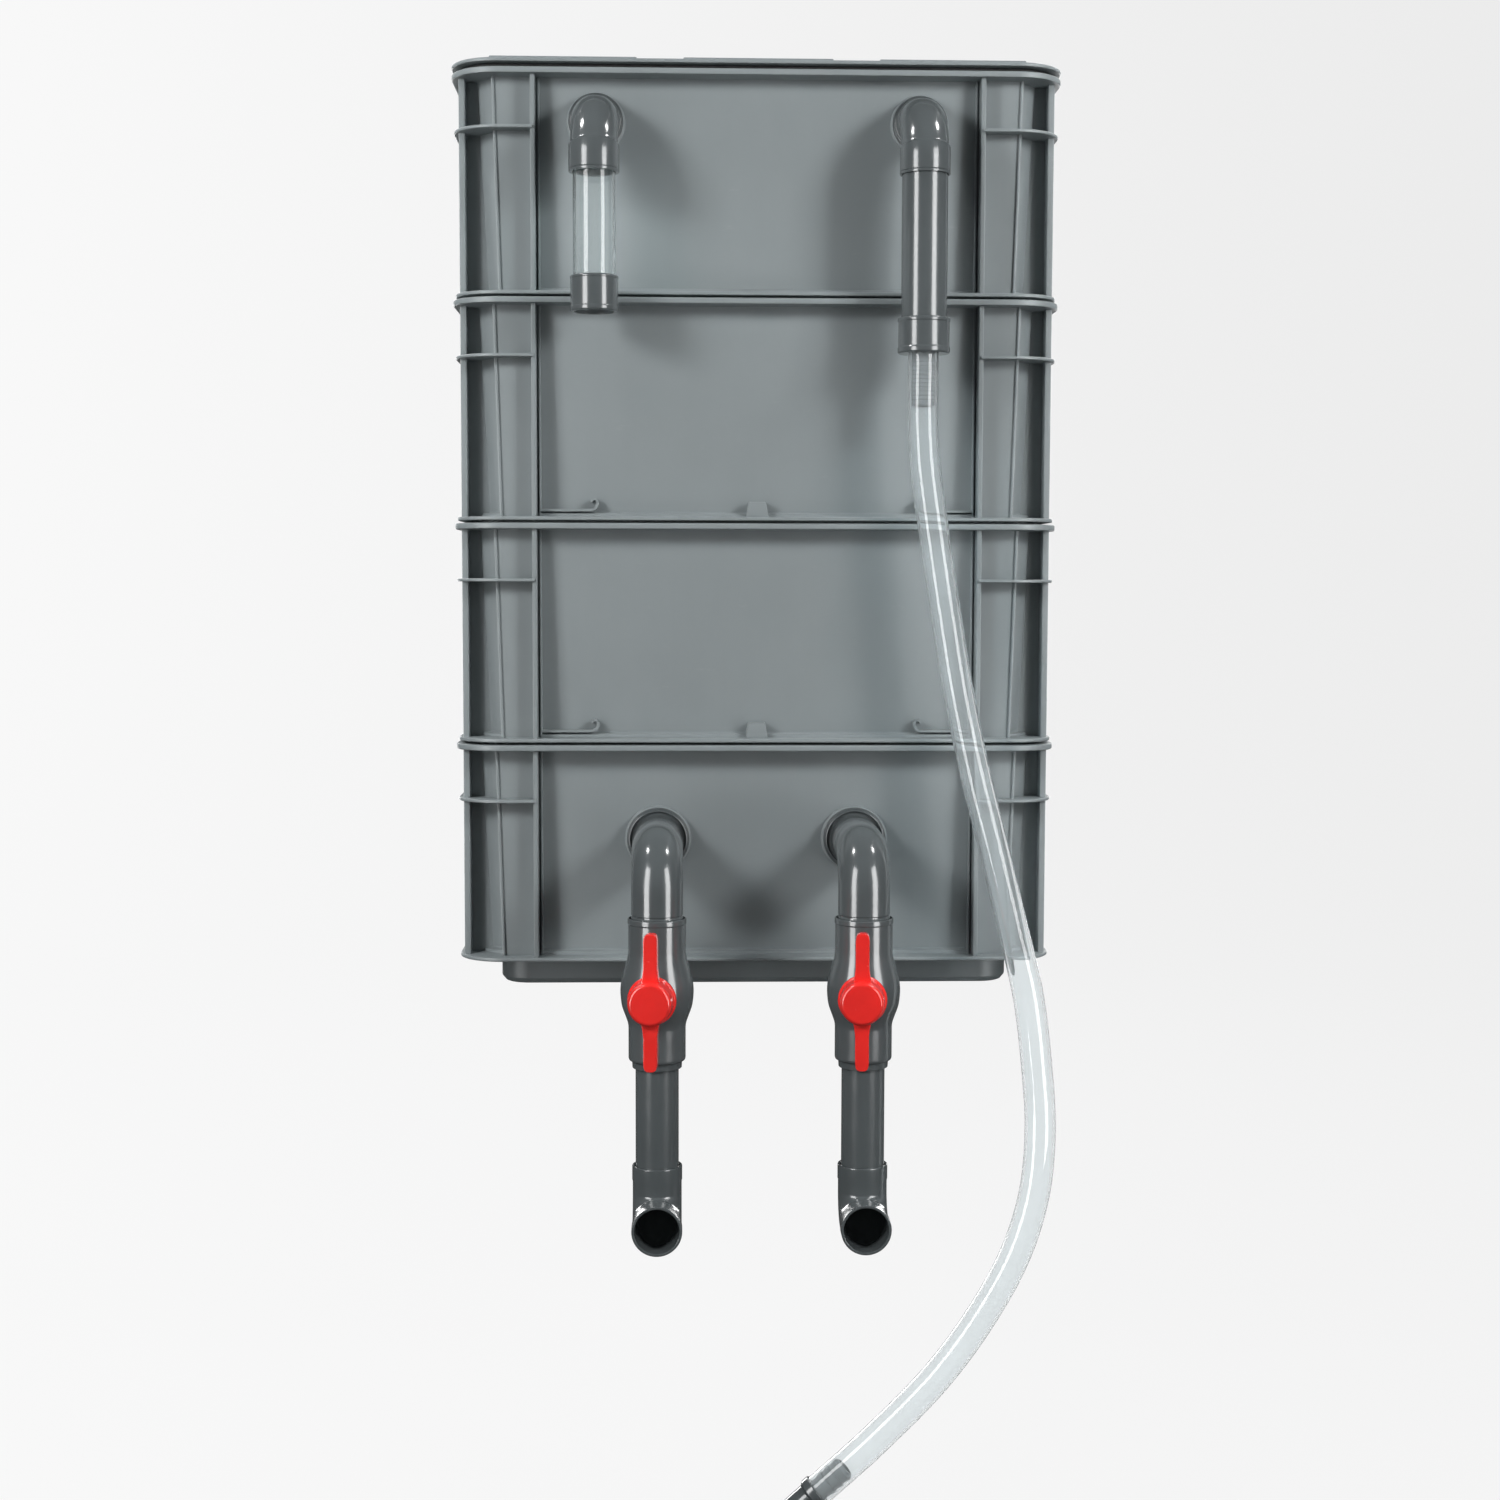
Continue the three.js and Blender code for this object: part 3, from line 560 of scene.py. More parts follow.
hose_line = centripetal(hose_knots, 9)
hose = tube("hose", hose_line, HOSE_R, HOSE_BORE, sides=48, lip=0.5)
finished(hose, "inlet_hose_clear", "crate_1", VINYL, ["inlet_hose"])
end_way = (hose_line[-1] - hose_line[-2]).normalized()
end_axis = end_way.to_track_quat("Z", "Y").to_matrix()
barb_rings = [(8, -34, 0), (9.4, -34)]
for k in range(3):
    barb_rings += [(12.3, -30.5 + 9 * k, 0.3), (10.6, -23 + 9 * k, 0)]
connector = lathe("connector", [
    *barb_rings, (10.6, 0.3), (17, 0.3), (17, 8), (14.5, 10), (14.5, 31.9), (8, 31.9),
], hose_line[-1], end_axis, 48, 0.7)
finished(connector, "hose_end_connector", "crate_1", PVC, ["hose_connector"])

# ---------------------------------------------------------------- crates and lid

POST = 218.75  # middle of the upright post beside each panel
WALL_FACE = 167.3  # depth at which the raised pieces are sunk into the wall
RIB_LOW, RIB_HIGH = 30.5, 243.5  # the ribs run from inside the flange to inside the rim


def crate_ribs():
    """Uprights that stiffen the corners, each a thin moulded blade."""
    blades = []

    def upright(sx, sy, xs, ys):
        x0, x1 = sorted(sx * x for x in xs)
        y0, y1 = sorted(sy * y for y in ys)
        blades.append(block("blade", x0, x1, y0, y1, RIB_LOW, RIB_HIGH, 0.9))

    def sloped(sx, sy, inner_low, inner_high, outer, front, edge):
        outline = [
            (sx * inner_low, RIB_LOW), (sx * outer, RIB_LOW),
            (sx * (outer + 6.5), RIB_HIGH), (sx * inner_high, RIB_HIGH),
        ]
        if sx < 0:
            outline.reverse()
        y0, y1 = sorted((-sy * WALL_FACE, -sy * front))
        blades.append(prism("blade", outline, y0, y1, FRONT, bevel=edge))

    for sx in (-1, 1):
        for sy in (-1, 1):
            upright(sx, sy, (POST - 2.25, POST + 2.25), (165.5, 195))
            upright(sx, sy, (264.5, 295), (109.75, 114.25))
            upright(sx, sy, (249.5, 292), (148, 152.5))
            upright(sx, sy, (286, 292), (149.5, 170))
            upright(sx, sy, (213, 214.6), (165.5, 181))
            sloped(sx, sy, 250.2, 256.7, 253, 184, 0.8)
            sloped(sx, sy, POST, POST, 251, 182, 0.5)
    return blades


def corner_ring():
    """Thin shelf that wraps each corner between its two end ribs."""
    ring = shell("ring", [
        (297.4, 197.4, 45.4, 187.5), (298, 198, 46, 188.1),
        (298, 198, 46, 189.9), (297.4, 197.4, 45.4, 190.5),
    ])
    gap = block("gap", -POST, POST, -200, 200, 180, 200, 0)
    return combine(ring, [gap], "DIFFERENCE")


def label_holder():
    """Hooked bars at both ends of the panel and a clip in the middle."""
    pieces = []
    hook = [
        (214.3, 0.2), (163, 0.2), (158.5, 2.2), (156.2, 6), (156.4, 10.4), (159.2, 13.4),
        (163.4, 12.6), (164.4, 9.6), (162.6, 9.2), (161.6, 11), (159.6, 11), (158.6, 9),
        (159, 6.4), (160.8, 4), (163.6, 2.8), (214.3, 2.8),
    ]
    for sy in (-1, 1):
        for sx in (-1, 1):
            outline = [(sx * x, z + 38) for x, z in hook]
            if sx > 0:
                outline.reverse()
            y0, y1 = sorted((-sy * WALL_FACE, -sy * 181))
            pieces.append(prism("hook", outline, y0, y1, FRONT, bevel=0.35))
        y0, y1 = sorted((-sy * WALL_FACE, -sy * 185))
        clip = [(-11, 33), (11, 33), (8.5, 48), (-8.5, 48)]
        pieces.append(prism("clip", clip, y0, y1, FRONT, bevel=1.0))
    return pieces


def crate(name, tier, body, ports=(), holder=False, drilled=False):
    """One moulded crate; ports are (x, height, pad radius, bore radius)."""
    low, high = 27.0, 245.0  # underside of the flange, top of the rim
    # From the underside of the foot up the outside, over the rim and down to the floor.
    outline = [
        (252.5, 151.5, 24, 0), (254, 153, 25.5, 0.6), (257.6, 156.6, 29.6, 4.8), (258, 157, 30, 6),
        (258, 157, 30, low - 0.2), (259, 158, 31, low + 0.1), (281.4, 181.4, 31, low + 0.2),
        (282, 182, 31.4, low + 0.8), (282, 182, 31.4, low + 1.9), (282.4, 182.4, 31.6, low + 2.2),
        (296.4, 196.4, 45, low + 2.2), (297.3, 197.3, 45.8, low + 2.7), (297.5, 197.5, 46, low + 3.4),
        (297.5, 197.5, 46, low + 4.8), (297, 197, 45.6, low + 5.7),
        (296, 196, 45, low + 6), (279, 180, 43, low + 6.2), (277.4, 178.4, 42.4, low + 7),
        (277, 178, 42, low + 9.2), (276, 177, 41.4, low + 10), (270.8, 171.8, 37, low + 10.3),
        (270, 170.6, 36.2, low + 11.5), (276.7, 177.7, 36, high - 7), (277.4, 178.2, 36.4, high - 6.3),
        (298.6, 198.6, 46.8, high - 6), (299.6, 199.6, 47.6, high - 5.5), (300, 200, 48, high - 4.6),
        (300, 200, 48, high - 1.3), (299.6, 199.6, 47.6, high - 0.5), (298.7, 198.7, 47, high),
        (275.6, 176.6, 35, high), (274.4, 175.4, 34, high - 0.8), (274.0, 175.0, 33.4, high - 2),
        (266.6, 167.6, 33, low + 5), (266, 167, 32.6, low + 3.5), (264.8, 165.8, 32, low + 3),
        (256.5, 155.5, 28, low + 3), (255.3, 154.3, 27.4, low + 2), (255, 154, 27, low),
        (255, 154, 27, 5), (254.2, 153.2, 26.4, 3.4), (253, 152, 26, 3),
    ]
    body_mesh = shell(name, outline)
    additions = [*crate_ribs(), corner_ring(), *(label_holder() if holder else [])]
    tools = []
    for x, z, radius, bore in ports:
        additions.append(lathe("pad", [
            (0, 168), (radius, 168), (radius, 179.2, 1.6), (radius - 1.2, 181), (0, 181),
        ], (x, 0, z), FRONT, 64, 0.8))
        drill = [(0, 160), (bore, 160), (bore, 190), (0, 190)]
        tools.append(lathe("hole", drill, (x, 0, z), FRONT, 64, 0))
    if drilled:
        for x in (-178, -59, 59, 178):
            for y in (-105, -35, 35, 105):
                tools.append(prism("slot", [
                    (x - 45, y - 7), (x + 45, y - 7), (x + 45, y + 7), (x - 45, y + 7),
                ], -2, 8, bevel=0, rounding=6.5))
    combine(body_mesh, additions)
    combine(body_mesh, tools, "DIFFERENCE")
    body_mesh.data.transform(Matrix.Translation((0, 0, tier * PITCH * MM)))
    finished(body_mesh, f"{name}_moulding", body, CRATE, [name])


top_ports = [(s * PORT_X, PORT_Z - 3 * PITCH, 28.6, 20.6) for s in (-1, 1)]
return_ports = [(s * RETURN_X, RETURN_Z, 33, 24.8) for s in (-1, 1)]
crate("crate_1", 3, "crate_1", top_ports, drilled=True)
crate("crate_2", 2, "crate_2", holder=True, drilled=True)
crate("crate_3", 1, "crate_3", holder=True, drilled=True)
crate("crate_4", 0, "base", return_ports)


def lid():
    """Lid with raised stacking ridges and webs, and the seal under its edge."""
    base = 904.5  # underside of the lid's edge
    plate_mesh = shell("lid", [
        (268.6, 169.6, 37, base - 13.4), (269, 170, 37.4, base - 14), (271, 172, 39.6, base - 14),
        (271.5, 172.5, 40, base - 13.4), (271.5, 172.5, 40, base - 0.4), (272.2, 173.2, 40.6, base),
        (298.8, 198.8, 47, base), (299.7, 199.7, 47.8, base + 0.5), (300, 200, 48, base + 1.2),
        (300, 200, 48, base + 2.8), (299.6, 199.6, 47.6, base + 3.6), (298.6, 198.6, 46.8, base + 4),
        (279, 179, 36, base + 4), (278, 178, 35.4, base + 3.6), (277.4, 177.4, 35, base + 2.6),
    ])
    under = shell("under", [
        (268.5, 169.5, 37, base - 20), (268.5, 169.5, 37, base - 0.6), (267.6, 168.6, 36.4, base + 0.1),
    ])
    combine(plate_mesh, [under], "DIFFERENCE")
    ridges = []
    for s in (-1, 1):
        y0, y1 = sorted((s * 181, s * 188))
        for x0, x1 in ((-261, -118), (-73, 73), (118, 261)):
            ridges.append(block("ridge", x0, x1, y0, y1, base + 3, base + 8, 1.4))
        x0, x1 = sorted((s * 281, s * 288))
        for a, b in ((-150, -22), (22, 150)):
            ridges.append(block("ridge", x0, x1, a, b, base + 3, base + 8, 1.4))
    for k in (-2, -1, 0, 1, 2):
        ridges.append(block("web", k * 90 - 3, k * 90 + 3, -160, 160, base + 2, base + 3.7, 0.7))
    combine(plate_mesh, ridges)
    finished(plate_mesh, "lid_moulding", "lid", CRATE, ["lid"])
    seal = shell("seal", [
        (291, 191, 41, 900.2), (292, 192, 42, 901), (292, 192, 42, 903.4), (291, 191, 41, 904.2),
        (282, 182, 39, 904.2),
    ])
    hole = shell("hole", [(281, 181, 38, 890), (281, 181, 38, 910)])
    combine(seal, [hole], "DIFFERENCE")
    finished(seal, "lid_seal_ring", "lid", RUBBER, ["lid_seal"])


lid()

# ---------------------------------------------------------------- port fittings


def port_fitting(name, x, z, barrel, bore, flange, spigot, reach, body):
    """Gasket, flanged spigot and inner hexagon nut of one port.

    barrel, bore, flange and spigot are radii; the spigot ends at the depth called reach.
    """
    place, sides = (x, 0, z), 72
    washer = ring_profile(barrel + GAP, flange, 181.3, 183.5)
    gasket = lathe("gasket", washer, place, FRONT, sides, 0.5)
    finished(gasket, f"{name}_gasket_ring", body, RUBBER, [f"{name}_gasket"])
    spigot_mesh = lathe("spigot", [
        (bore, 154), (barrel, 154), (barrel, 183.8), (flange, 183.8), (flange, 186.9, 0.8),
        (flange - 1.1, 187.7, 0.3), (flange - 1.5, 187.4, 0.2), (flange - 1.9, 188.9, 0.8),
        (flange - 3.1, 189.3, 0.8), (flange - 3.9, 188.5, 0.6), (flange - 4.1, 187.2, 0.2),
        (spigot, 187.2, 0.4), (spigot, reach), (bore, reach),
    ], place, FRONT, sides, 0.7)
    finished(spigot_mesh, f"{name}_spigot", body, PVC, [f"{name}_bulkhead"])
    angles = [math.pi * k / 3 for k in range(6)]
    corners = [((flange + 2) * math.cos(a), (flange + 2) * math.sin(a)) for a in angles]
    nut = prism("nut", corners, 158.7, 167.7, FRONT, place, bevel=0.9)
    drill = [(0, 150), (barrel + GAP, 150), (barrel + GAP, 175), (0, 175)]
    combine(nut, [lathe("hole", drill, place, FRONT, sides, 0)], "DIFFERENCE")
    finished(nut, f"{name}_hex_nut", body, PVC, [f"{name}_nut"])


# ---------------------------------------------------------------- overflow and inlet

ELBOW_Y = -189.6  # where every outside elbow starts
SIGHT_R, INLET_PIPE_R = 20.3, 22.1


def top_elbow(name, x, pipe):
    """Wide bend from the port down to the collared socket of the upright pipe."""
    low, bend = 793.9, 42.2
    path = route([(x, ELBOW_Y, PORT_Z), (x, DROP_Y, PORT_Z), (x, DROP_Y, low)], bend, 32)
    total = length_along(path)
    outside = [
        (0, 23.6), (2.2, 23.6), (3.4, 22.7), (total - 26.4, 22.7), (total - 25.2, 23.3),
        (total - 24.6, 24.2), (total - 3.4, 24.2), (total - 2.8, 23.7), (total - 2.2, 24.3),
        (total, 24.3),
    ]
    socket = pipe + GAP
    inside = [(0, 20.6), (total - 25.4, 20.6), (total - 25.2, socket), (total, socket)]
    tube_mesh = tube("elbow", path, outside, inside, 72, 0.8)
    finished(tube_mesh, f"{name}_bend", "crate_1", PVC, [name])


for name, x in (("overflow", -PORT_X), ("inlet", PORT_X)):
    port_fitting(name, x, PORT_Z, 20.3, 17.3, 26.6, 20.3, 194, "crate_1")
top_elbow("overflow_elbow", -PORT_X, SIGHT_R)
top_elbow("inlet_elbow", PORT_X, INLET_PIPE_R)
sight_outline = ring_profile(18, SIGHT_R, 683, 817.9)
sight = lathe("sight", sight_outline, (-PORT_X, DROP_Y, 0), sides=96, soft=0.4)
finished(sight, "sight_tube_clear", "crate_1", ACRYLIC, ["sight_tube"])
coupling = lathe("coupling", [
    (20.6, 697), (22.3, 697), (23.3, 695.8), (23.3, 694.4), (22.9, 693.8), (22.9, 668), (23.3, 667.2),
    (23.3, 664.2), (22.3, 663), (19.3, 663), (19.3, 682.7), (20.6, 682.7),
], (-PORT_X, DROP_Y, 0))
finished(coupling, "overflow_coupling_ring", "crate_1", PVC, ["overflow_coupling"])
pipe_outline = ring_profile(19.6, INLET_PIPE_R, 643, 817.9)
pipe = lathe("pipe", pipe_outline, (PORT_X, DROP_Y, 0), soft=0.5)
finished(pipe, "inlet_pipe_tube", "crate_1", PVC, ["inlet_pipe"])
reducer = lathe("reducer", [
    (22.4, 659), (24.4, 659), (25.2, 658), (25.2, 655.6), (24.6, 654.8), (24.6, 631.4), (25.2, 630.4),
    (25.2, 626.4), (24, 625), (15.4, 625), (13, 627.4), (13, 642.7), (22.4, 642.7),
], (PORT_X, DROP_Y, 0))
finished(reducer, "inlet_reducer", "crate_1", PVC, ["inlet_coupling"])
barbs = [(8, 642), (8, 575), (10, 575)]
for k in range(11):
    barbs += [(12.1, 577.2 + 4 * k, 0.3), (11.2, 580.4 + 4 * k, 0)]
barbs += [(11.2, 626), (12.7, 626), (12.7, 642)]
tail = lathe("tail", barbs, (PORT_X, DROP_Y, 0), soft=0.4)
finished(tail, "hose_barb", "crate_1", PVC, ["hose_tail"])

BAR_Y = -128  # the spray bar runs along X at this depth
inner_path = route([(PORT_X, -162, PORT_Z), (PORT_X, BAR_Y, PORT_Z), (112, BAR_Y, PORT_Z)], 24)
inner = tube("inner", inner_path, 17, 14.3)
finished(inner, "inner_bend", "crate_1", PVC, ["inner_elbow"])
bar = lathe("bar", ring_profile(17.3, 20, -205, 130), (0, BAR_Y, PORT_Z), ALONG_X)
combine(bar, [
    lathe("hole", [(0, -27), (4, -27), (4, -8), (0, -8)], (x, BAR_Y, PORT_Z), sides=24, soft=0)
    for x in range(-180, 100, 50)
], "DIFFERENCE")
finished(bar, "spray_bar_tube", "crate_1", PVC, ["spray_bar"])
cap = lathe("cap", [
    (0, -5), (20.5, -5), (23, -2.6), (23, 16), (20.3, 16), (20.3, -0.3), (0, -0.3),
], (-205, BAR_Y, PORT_Z), ALONG_X, soft=0.8)
finished(cap, "spray_bar_end", "crate_1", PVC, ["spray_bar_cap"])

# ---------------------------------------------------------------- returns

VALVE_Y, VALVE_BASE, VALVE_Z = -302, 10, 18.4  # depth, datum of the body, height of the stem
STEM_R, STEM_HOLE_R = 6.2, 6.5
BALL_R, SEAT_R, BALL_BORE = 23.4, 24.3, 18
TURN = Matrix.Rotation(math.radians(-6), 3, "Z")  # the handles face slightly to one side


def valve(side, x):
    """Belly-shaped valve body with a boss and a gland hole for the stem."""
    body = lathe("body", [
        (24.9, 76.2), (26.3, 76.8, 0.2), (26.5, 79.5, 0.3), (27.3, 79.5, 0.4), (27.9, 78.7, 0.5),
        (27.9, 74.5, 0.5), (27.4, 73.8, 0.5), (27.4, 44, 6), (30.4, 33.2, 8), (33.8, 21.5, 8),
        (35, 9.8, 8), (33.6, -3.9, 8), (29.9, -13.7, 6), (27.1, -21.5, 4), (27.1, -53.7, 0.6),
        (26.5, -56, 1), (23.8, -56.5, 1), (23.4, -63.4), (20.8, -63.4), (20.8, -39),
        (18, -39), (18, -17.1), (24.9, -17.1), (24.9, 33.9), (18, 33.9), (18, 54.5), (24.9, 54.5),
    ], (0, 0, 0), soft=0.7, sides=88)
    height = VALVE_Z - VALVE_BASE
    boss = lathe("boss", [
        (0, 25.9), (13.7, 25.9), (13.7, 37.8), (12.5, 39), (0, 39),
    ], (0, 0, height), TURN @ FRONT, 48)
    combine(body, [boss])
    drill = [(0, 20), (STEM_HOLE_R, 20), (STEM_HOLE_R, 45), (0, 45)]
    combine(body, [lathe("gland", drill, (0, 0, height), TURN @ FRONT, 48, 0)], "DIFFERENCE")
    body.data.transform(Matrix.Translation(Vector((x, VALVE_Y, VALVE_BASE)) * MM))
    finished(body, f"valve_{side}_housing", "base", PVC, [f"valve_{side}_body"])


def at_valve(x):
    """Where the stem's axis crosses the pipe."""
    return Vector((x, VALVE_Y, VALVE_Z))


def handle(side, x):
    """Thick round hub with a tapered arm above and below, and the stem behind it."""
    axis = TURN @ FRONT
    hub = lathe("hub", [
        (STEM_HOLE_R, 40.2), (21.8, 40.2, 0.6), (23, 41.4, 0.6), (23, 44, 0.6), (22, 45.4, 0.6),
        (21.2, 46, 0.8), (20.4, 63, 1.4), (18.4, 66.2, 2.2), (0, 66.4, 0), (0, 58.8),
        (STEM_HOLE_R, 58.8),
    ], (0, 0, 0), axis, 88, 0.6)
    quarter = [(8.6, 18.5), (7.4, 24), (6.5, 32), (6.5, 58.5), (5.4, 62.8), (2.6, 64.4)]
    arm = [
        *quarter, *[(-w, h) for w, h in reversed(quarter)],
        *[(-w, -h) for w, h in quarter], *[(w, -h) for w, h in reversed(quarter)],
    ]
    arms = prism("arms", arm, 45.4, 58.4, axis, bevel=1.5, rounding=2.0)
    combine(hub, [arms])
    drill = [(0, 38), (STEM_HOLE_R, 38), (STEM_HOLE_R, 58.7), (0, 58.7)]
    combine(hub, [lathe("socket", drill, (0, 0, 0), axis, 48, 0)], "DIFFERENCE")
    hub.data.transform(Matrix.Translation(at_valve(x) * MM))
    finished(hub, f"valve_{side}_lever", f"valve_{side}", RED, [f"valve_{side}_handle"])
    rod_outline = [(0, 23.7), (STEM_R, 23.7), (STEM_R, 58.4), (0, 58.4)]
    rod = lathe("rod", rod_outline, at_valve(x), axis, 40)
    tongue = block("tongue", -1.8, 1.8, -25.4, -20.4, -5.6, 5.6, 0.3)
    tongue.data.transform(Matrix.Translation(at_valve(x) * MM) @ TURN.to_4x4())
    combine(rod, [tongue])
    finished(rod, f"valve_{side}_spindle", f"valve_{side}", PVC, [f"valve_{side}_stem"])


def ball_and_seats(side, x):
    """Bored ball with a slot for the stem, between two ring seats."""
    arc = [(math.sqrt(BALL_R ** 2 - h * h), h) for h in range(-14, 15)]
    ball_outline = [(BALL_BORE, -14.9), *arc, (BALL_BORE, 14.9)]
    ball = lathe("ball", ball_outline, (0, 0, 0), soft=0, sides=80)
    slot = block("slot", -2.3, 2.3, -24.4, -19.9, -7, 7, 0)
    combine(ball, [slot], "DIFFERENCE")
    ball.data.transform(Matrix.Translation(at_valve(x) * MM) @ TURN.to_4x4())
    name = f"valve_{side}"
    finished(ball, f"{name}_bored_ball", name, PTFE, [f"{name}_ball"])
    for place, sign in (("upper", 1), ("lower", -1)):
        curve = [(r, sign * math.sqrt(SEAT_R ** 2 - r * r)) for r in (18.1, 19, 20, 20.8, 21.5)]
        seat = lathe("seat", [*curve, (24.6, sign * 25.2), (18.1, sign * 25.2)], at_valve(x), soft=0.3)
        replaced = [f"{name}_seat_{place}"]
        finished(seat, f"{name}_{place}_seat_ring", "base", PTFE, replaced)


def strainer(side, x):
    """Slotted cup on the inside of a return port."""
    low = 119.7
    cup = lathe("cup", [
        (0, low), (18.7, low), (18.7, 168), (16.7, 168), (16.7, low + 2.5), (0, low + 2.5),
    ], (x, 0, RETURN_Z), FRONT, 64, 0.5)
    cuts = []
    for k in range(3):
        y = -(low + 8 + k * 9)
        cuts.append(block("cut", x - 30, x + 30, y - 1.8, y + 1.8, RETURN_Z - 12, RETURN_Z + 12, 0))
    combine(cup, cuts, "DIFFERENCE")
    finished(cup, f"return_{side}_strainer_cup", "base", PVC, [f"return_{side}_strainer"])


for side, x in (("left", -RETURN_X), ("right", RETURN_X)):
    port_fitting(f"return_{side}", x, RETURN_Z, 24.5, 19, 31, 21.1, 207, "base")
    strainer(side, x)
    fall = route([(x, ELBOW_Y, RETURN_Z), (x, VALVE_Y, RETURN_Z), (x, VALVE_Y, 65.2)], 37, 32)
    run = length_along(fall)
    bend = tube("bend", fall, [
        (0, 24.6), (run - 27.8, 24.6), (run - 27, 24), (run - 25.6, 24), (run - 24.8, 24.6),
        (run, 24.6),
    ], 21.4, 72)
    finished(bend, f"return_{side}_bend", "base", PVC, [f"return_{side}_elbow"])
    valve(side, x)
    handle(side, x)
    ball_and_seats(side, x)
    drop = lathe("drop", ring_profile(18.1, 20.5, -171, -29.3), (x, VALVE_Y, 0), soft=0.6)
    finished(drop, f"return_{side}_drop_pipe", "base", PVC, [f"return_{side}_pipe"])
    low = -198.6  # middle of the discharge mouth
    outlet = route([(x, VALVE_Y, -147.6), (x, VALVE_Y, low), (x, -352, low)], 25.4, 28)
    run = length_along(outlet)
    spout = tube("spout", outlet, [
        (0, 23.8), (14, 23.8), (15, 23.3), (run - 15, 23.3), (run - 14, 23.8), (run, 23.8),
    ], 21.1, 72, 0.9)
    name = f"discharge_{side}"
    finished(spout, f"{name}_spout", name, PVC, [f"{name}_elbow"])

# ---------------------------------------------------------------- filter media

random.seed(743)


def media_block(name, node, tier, low, high, material, swell):
    """A soft mat: rounded plate with a crowned, uneven top."""
    half_x, half_y, corner = 249.6, 148.6, 23.6
    z0, z1 = tier * PITCH + low + 0.1, tier * PITCH + high - 0.2
    thick = z1 - z0
    edge = [(0, 2.5), (0.8, 0.6), (2.6, 0), (thick - 3.4, 0), (thick - 1, 0.8), (thick, 3.0)]
    rows = [(half_x - inset, half_y - inset, corner - inset, z0 + rise) for rise, inset in edge]
    for inset in (18, 45, 80, 115):
        rows.append((half_x - inset, half_y - inset, max(corner - inset * 0.15, 6), z1))
    mat = shell(name, rows)
    cut = bmesh.new()
    cut.from_mesh(mat.data)
    for vertex in cut.verts:
        if vertex.co.z > (z1 - 6) * MM:
            vertex.co.z -= random.random() * swell * MM
    cut.to_mesh(mat.data)
    cut.free()
    finished(mat, name, f"crate_{4 - tier}", material, [node], angle=50)


media_block("wool_mat", "filter_wool", 3, 3.3, 45, WOOL, 1.6)
media_block("fine_sponge_mat", "sponge_fine", 3, 45.3, 85, SPONGE, 0.5)
media_block("medium_sponge_mat", "sponge_medium", 2, 3.3, 52, SPONGE, 0.5)
media_block("coarse_sponge_mat", "sponge_coarse", 2, 52.3, 102, COARSE, 0.5)


def ceramic_heap(side, centre):
    """Short porous tubes tipped in all directions, as a loose bed."""
    segments, ring_outline = 10, ring_profile(4.2, 8.6, -8, 8)
    count, gaps = (10, 12, 5), (24, 24.4, 23.2)
    corner = (centre - 108, -134.2, PITCH + 15.6)
    points, faces = [], []
    for i in range(count[0]):
        for j in range(count[1]):
            for k in range(count[2]):
                spin = Matrix.Rotation(random.uniform(0, math.pi), 3, random.choice("XYZ"))
                spin = spin @ Matrix.Rotation(random.uniform(0, math.pi), 3, random.choice("XYZ"))
                middle = Vector((
                    corner[0] + gaps[0] * i + random.uniform(-0.5, 0.5),
                    corner[1] + gaps[1] * j + random.uniform(-0.5, 0.5),
                    corner[2] + gaps[2] * k,
                ))
                start = len(points)
                for r, h in ring_outline:
                    for s in range(segments):
                        a = 2 * math.pi * s / segments
                        points.append(middle + spin @ Vector((r * math.cos(a), r * math.sin(a), h)))
                for q in range(len(ring_outline)):
                    for s in range(segments):
                        n = (s + 1) % segments
                        p = (q + 1) % len(ring_outline)
                        faces.append((
                            start + q * segments + s, start + q * segments + n,
                            start + p * segments + n, start + p * segments + s,
                        ))
    heap = made("heap", points, faces)
    finished(heap, f"ceramic_rings_{side}", "crate_3", CERAMIC, [f"bio_media_{side}"], angle=45)


ceramic_heap("left", -126)
ceramic_heap("right", 126)

# ---------------------------------------------------------------- floor, light


def studio_bowl():
    """Seamless floor that curves up into a wall all round, in metres."""
    flat, curve, wall_top, floor_z = 3.4, 2.6, 7.0, -0.56
    profile = [(0, 0), (2.0, 0), (flat, 0)]
    for k in range(1, 13):
        a = math.pi / 2 * k / 12
        profile.append((flat + curve * math.sin(a), curve * (1 - math.cos(a))))
    profile.append((flat + curve, wall_top))
    sides = 96
    points, faces = [], []
    for r, h in profile:
        for k in range(sides):
            a = 2 * math.pi * k / sides
            points.append((r * math.cos(a), r * math.sin(a), h + floor_z))
    for i in range(len(profile) - 1):
        for k in range(sides):
            n = (k + 1) % sides
            faces.append((i * sides + k, i * sides + n, (i + 1) * sides + n, (i + 1) * sides + k))
    mesh = bpy.data.meshes.new("studio")
    mesh.from_pydata(points, [], faces)
    for polygon in mesh.polygons:
        polygon.use_smooth = True
    bowl = bpy.data.objects.new("studio", mesh)
    scene.collection.objects.link(bowl)
    paint = Paint("pale studio", 0.9, Specular_IOR_Level=0.0)
    pale = paint.ramp(paint.noise(0.6, 1), (0.3, (0.03, 0.03, 0.031)), (0.7, (0.034, 0.034, 0.034)))
    paint.link(pale, paint.shader.inputs["Base Color"])
    paint.shader.inputs["Emission Color"].default_value = (1, 1, 1, 1)
    # painted light: the backdrop glows brighter on the left and dimmer on the right, as if lit more from the
    # left
    across = paint.node("ShaderNodeSeparateXYZ")
    paint.link(paint.place, across.inputs[0])
    glow = paint.spread(across.outputs["X"], 0.945, 0.83, -2.9, 2.9)
    paint.link(glow, paint.shader.inputs["Emission Strength"])
    bowl.data.materials.append(paint.material)
    bowl.visible_diffuse = False
    bowl.visible_glossy = False
    bowl.visible_shadow = False


studio_bowl()


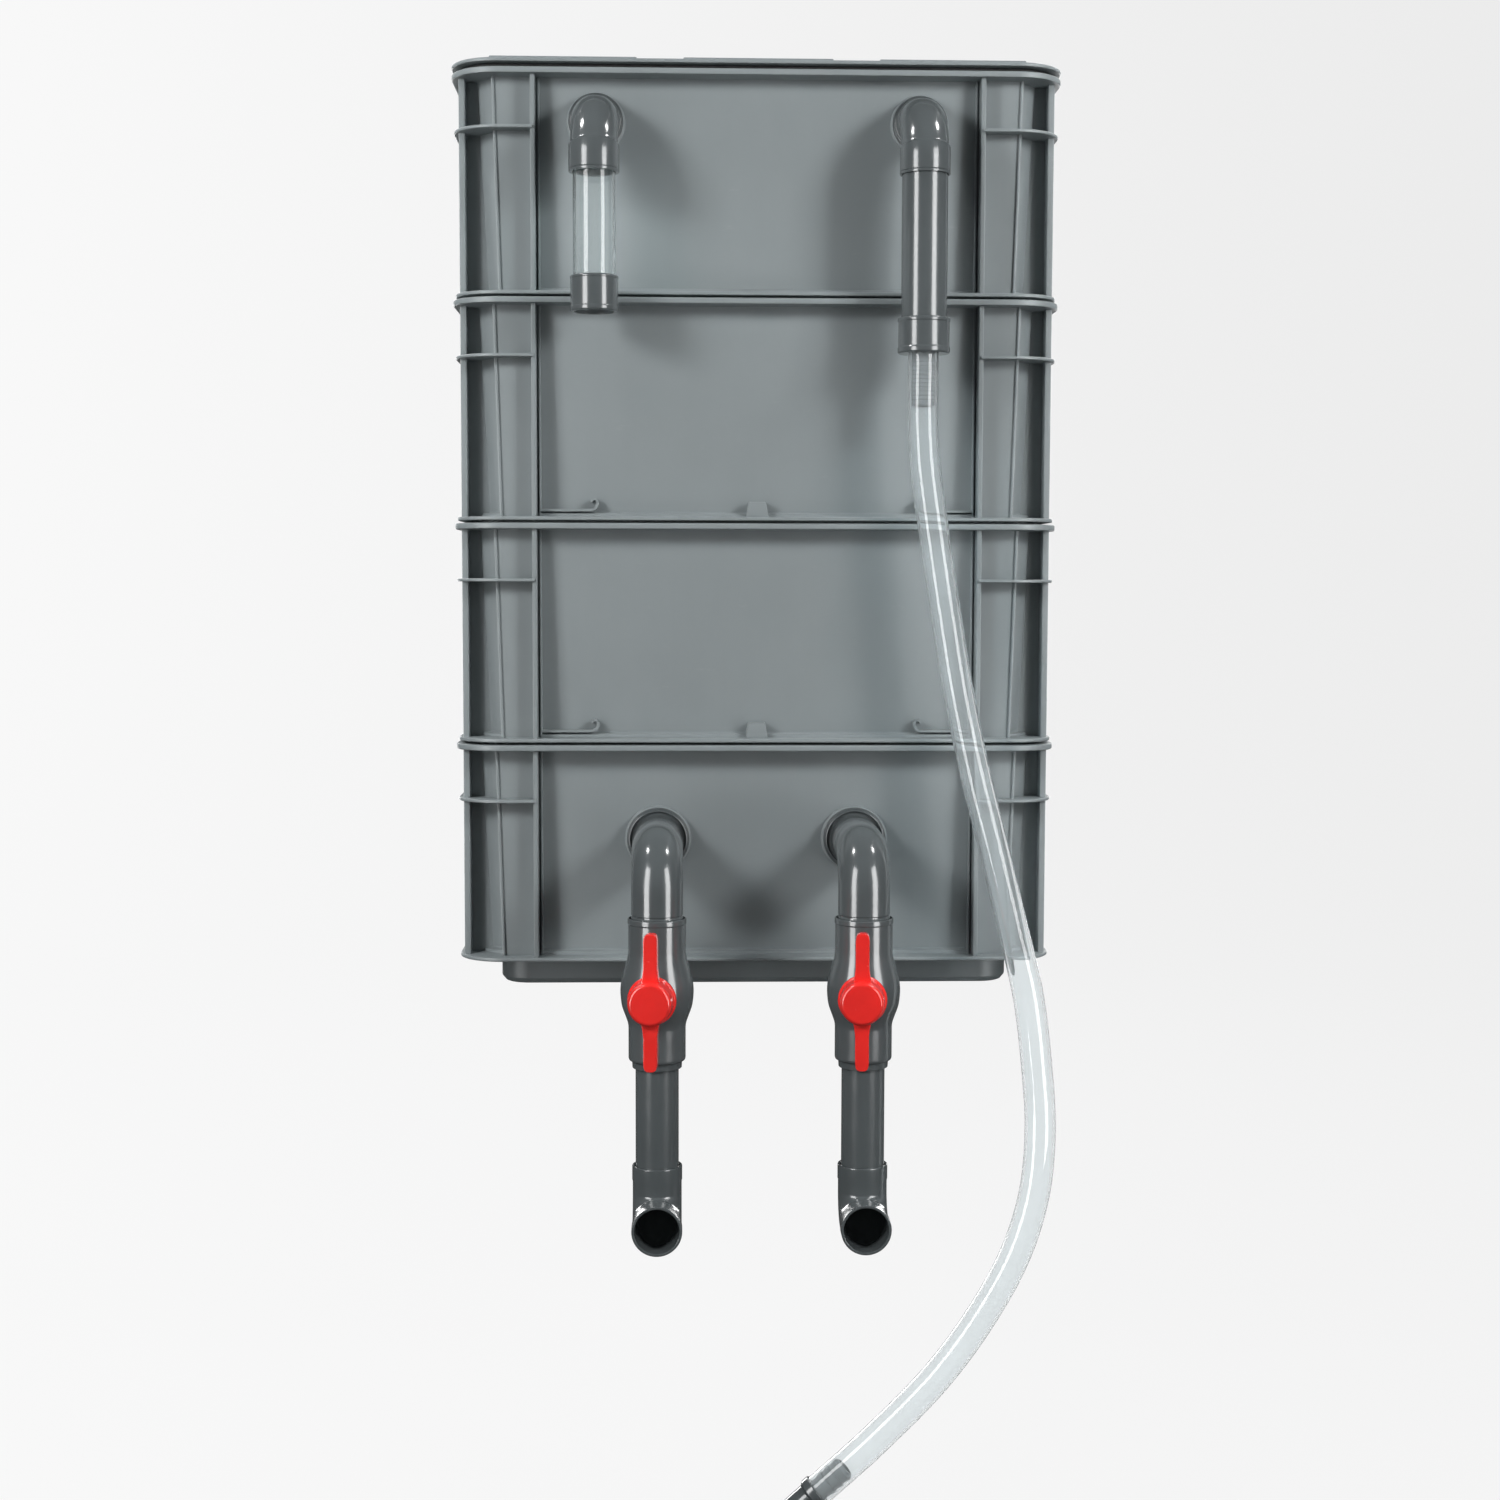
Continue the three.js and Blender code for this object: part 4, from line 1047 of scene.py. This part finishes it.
def lamp(
    name, azimuth, elevation, distance, width, height, watts,
    aim=(0, -0.15, 0.35), mirrored=True, shades=True,
):
    """Soft box aimed at the object; azimuth 0 is in front, positive to the right.

    A lamp that isn't mirrored gives no highlights; one that doesn't shade gives only highlights.
    """
    light = bpy.data.lights.new(name, "AREA")
    light.shape = "RECTANGLE"
    light.size, light.size_y = width, height
    light.energy = watts
    a, e = math.radians(azimuth), math.radians(elevation)
    way = Vector((math.sin(a) * math.cos(e), -math.cos(a) * math.cos(e), math.sin(e)))
    holder = bpy.data.objects.new(name, light)
    holder.location = Vector(aim) + way * distance
    holder.rotation_euler = way.to_track_quat("Z", "Y").to_euler()
    holder.visible_camera = False
    holder.visible_diffuse = shades
    holder.visible_glossy = mirrored
    holder.visible_transmission = mirrored and shades
    scene.collection.objects.link(holder)


for side, turn in (("left", -1), ("right", 1)):
    lamp(f"key {side}", turn * 50, 27, 2.2, 0.5, 0.5, 24, aim=(0, -0.15, 0.28), mirrored=False)
    lamp(f"low {side}", turn * 50, -15, 1.7, 0.5, 0.5, 2.2, aim=(0, -0.15, 0.15), mirrored=False)
    lamp(f"strip {side}", turn * 46, 9, 1.9, 0.2, 0.6, 3.2, aim=(0, -0.15, 0.8), mirrored=False)
    lamp(f"low strip {side}", turn * 46, 0, 1.9, 0.07, 0.9, 2.2, aim=(0, -0.15, 0.3), mirrored=False)
    lamp(f"gleam {side}", turn * 45, 0, 1.9, 0.7, 1.8, 37, aim=(0, -0.15, 0.55), shades=False)
    lamp(f"top {side}", turn * 84, 52, 2.2, 0.3, 0.3, 12, aim=(0, -0.25, 0.4))
    lamp(f"edge {side}", turn * 155, 4, 3.0, 0.7, 1.7, 30, aim=(0, -0.15, 0.3), shades=False)
    lamp(f"back {side}", turn * 140, 40, 3.0, 1.4, 1.4, 35)
lamp("fill", 0, 5, 3.0, 1.6, 1.6, 2, aim=(0, -0.15, 0.2), mirrored=False)
world = bpy.data.worlds.new("soft room")
scene.world = world
world.use_nodes = True
world.node_tree.nodes["Background"].inputs["Color"].default_value = (0.96, 0.98, 1.0, 1)
world.node_tree.nodes["Background"].inputs["Strength"].default_value = 0.06
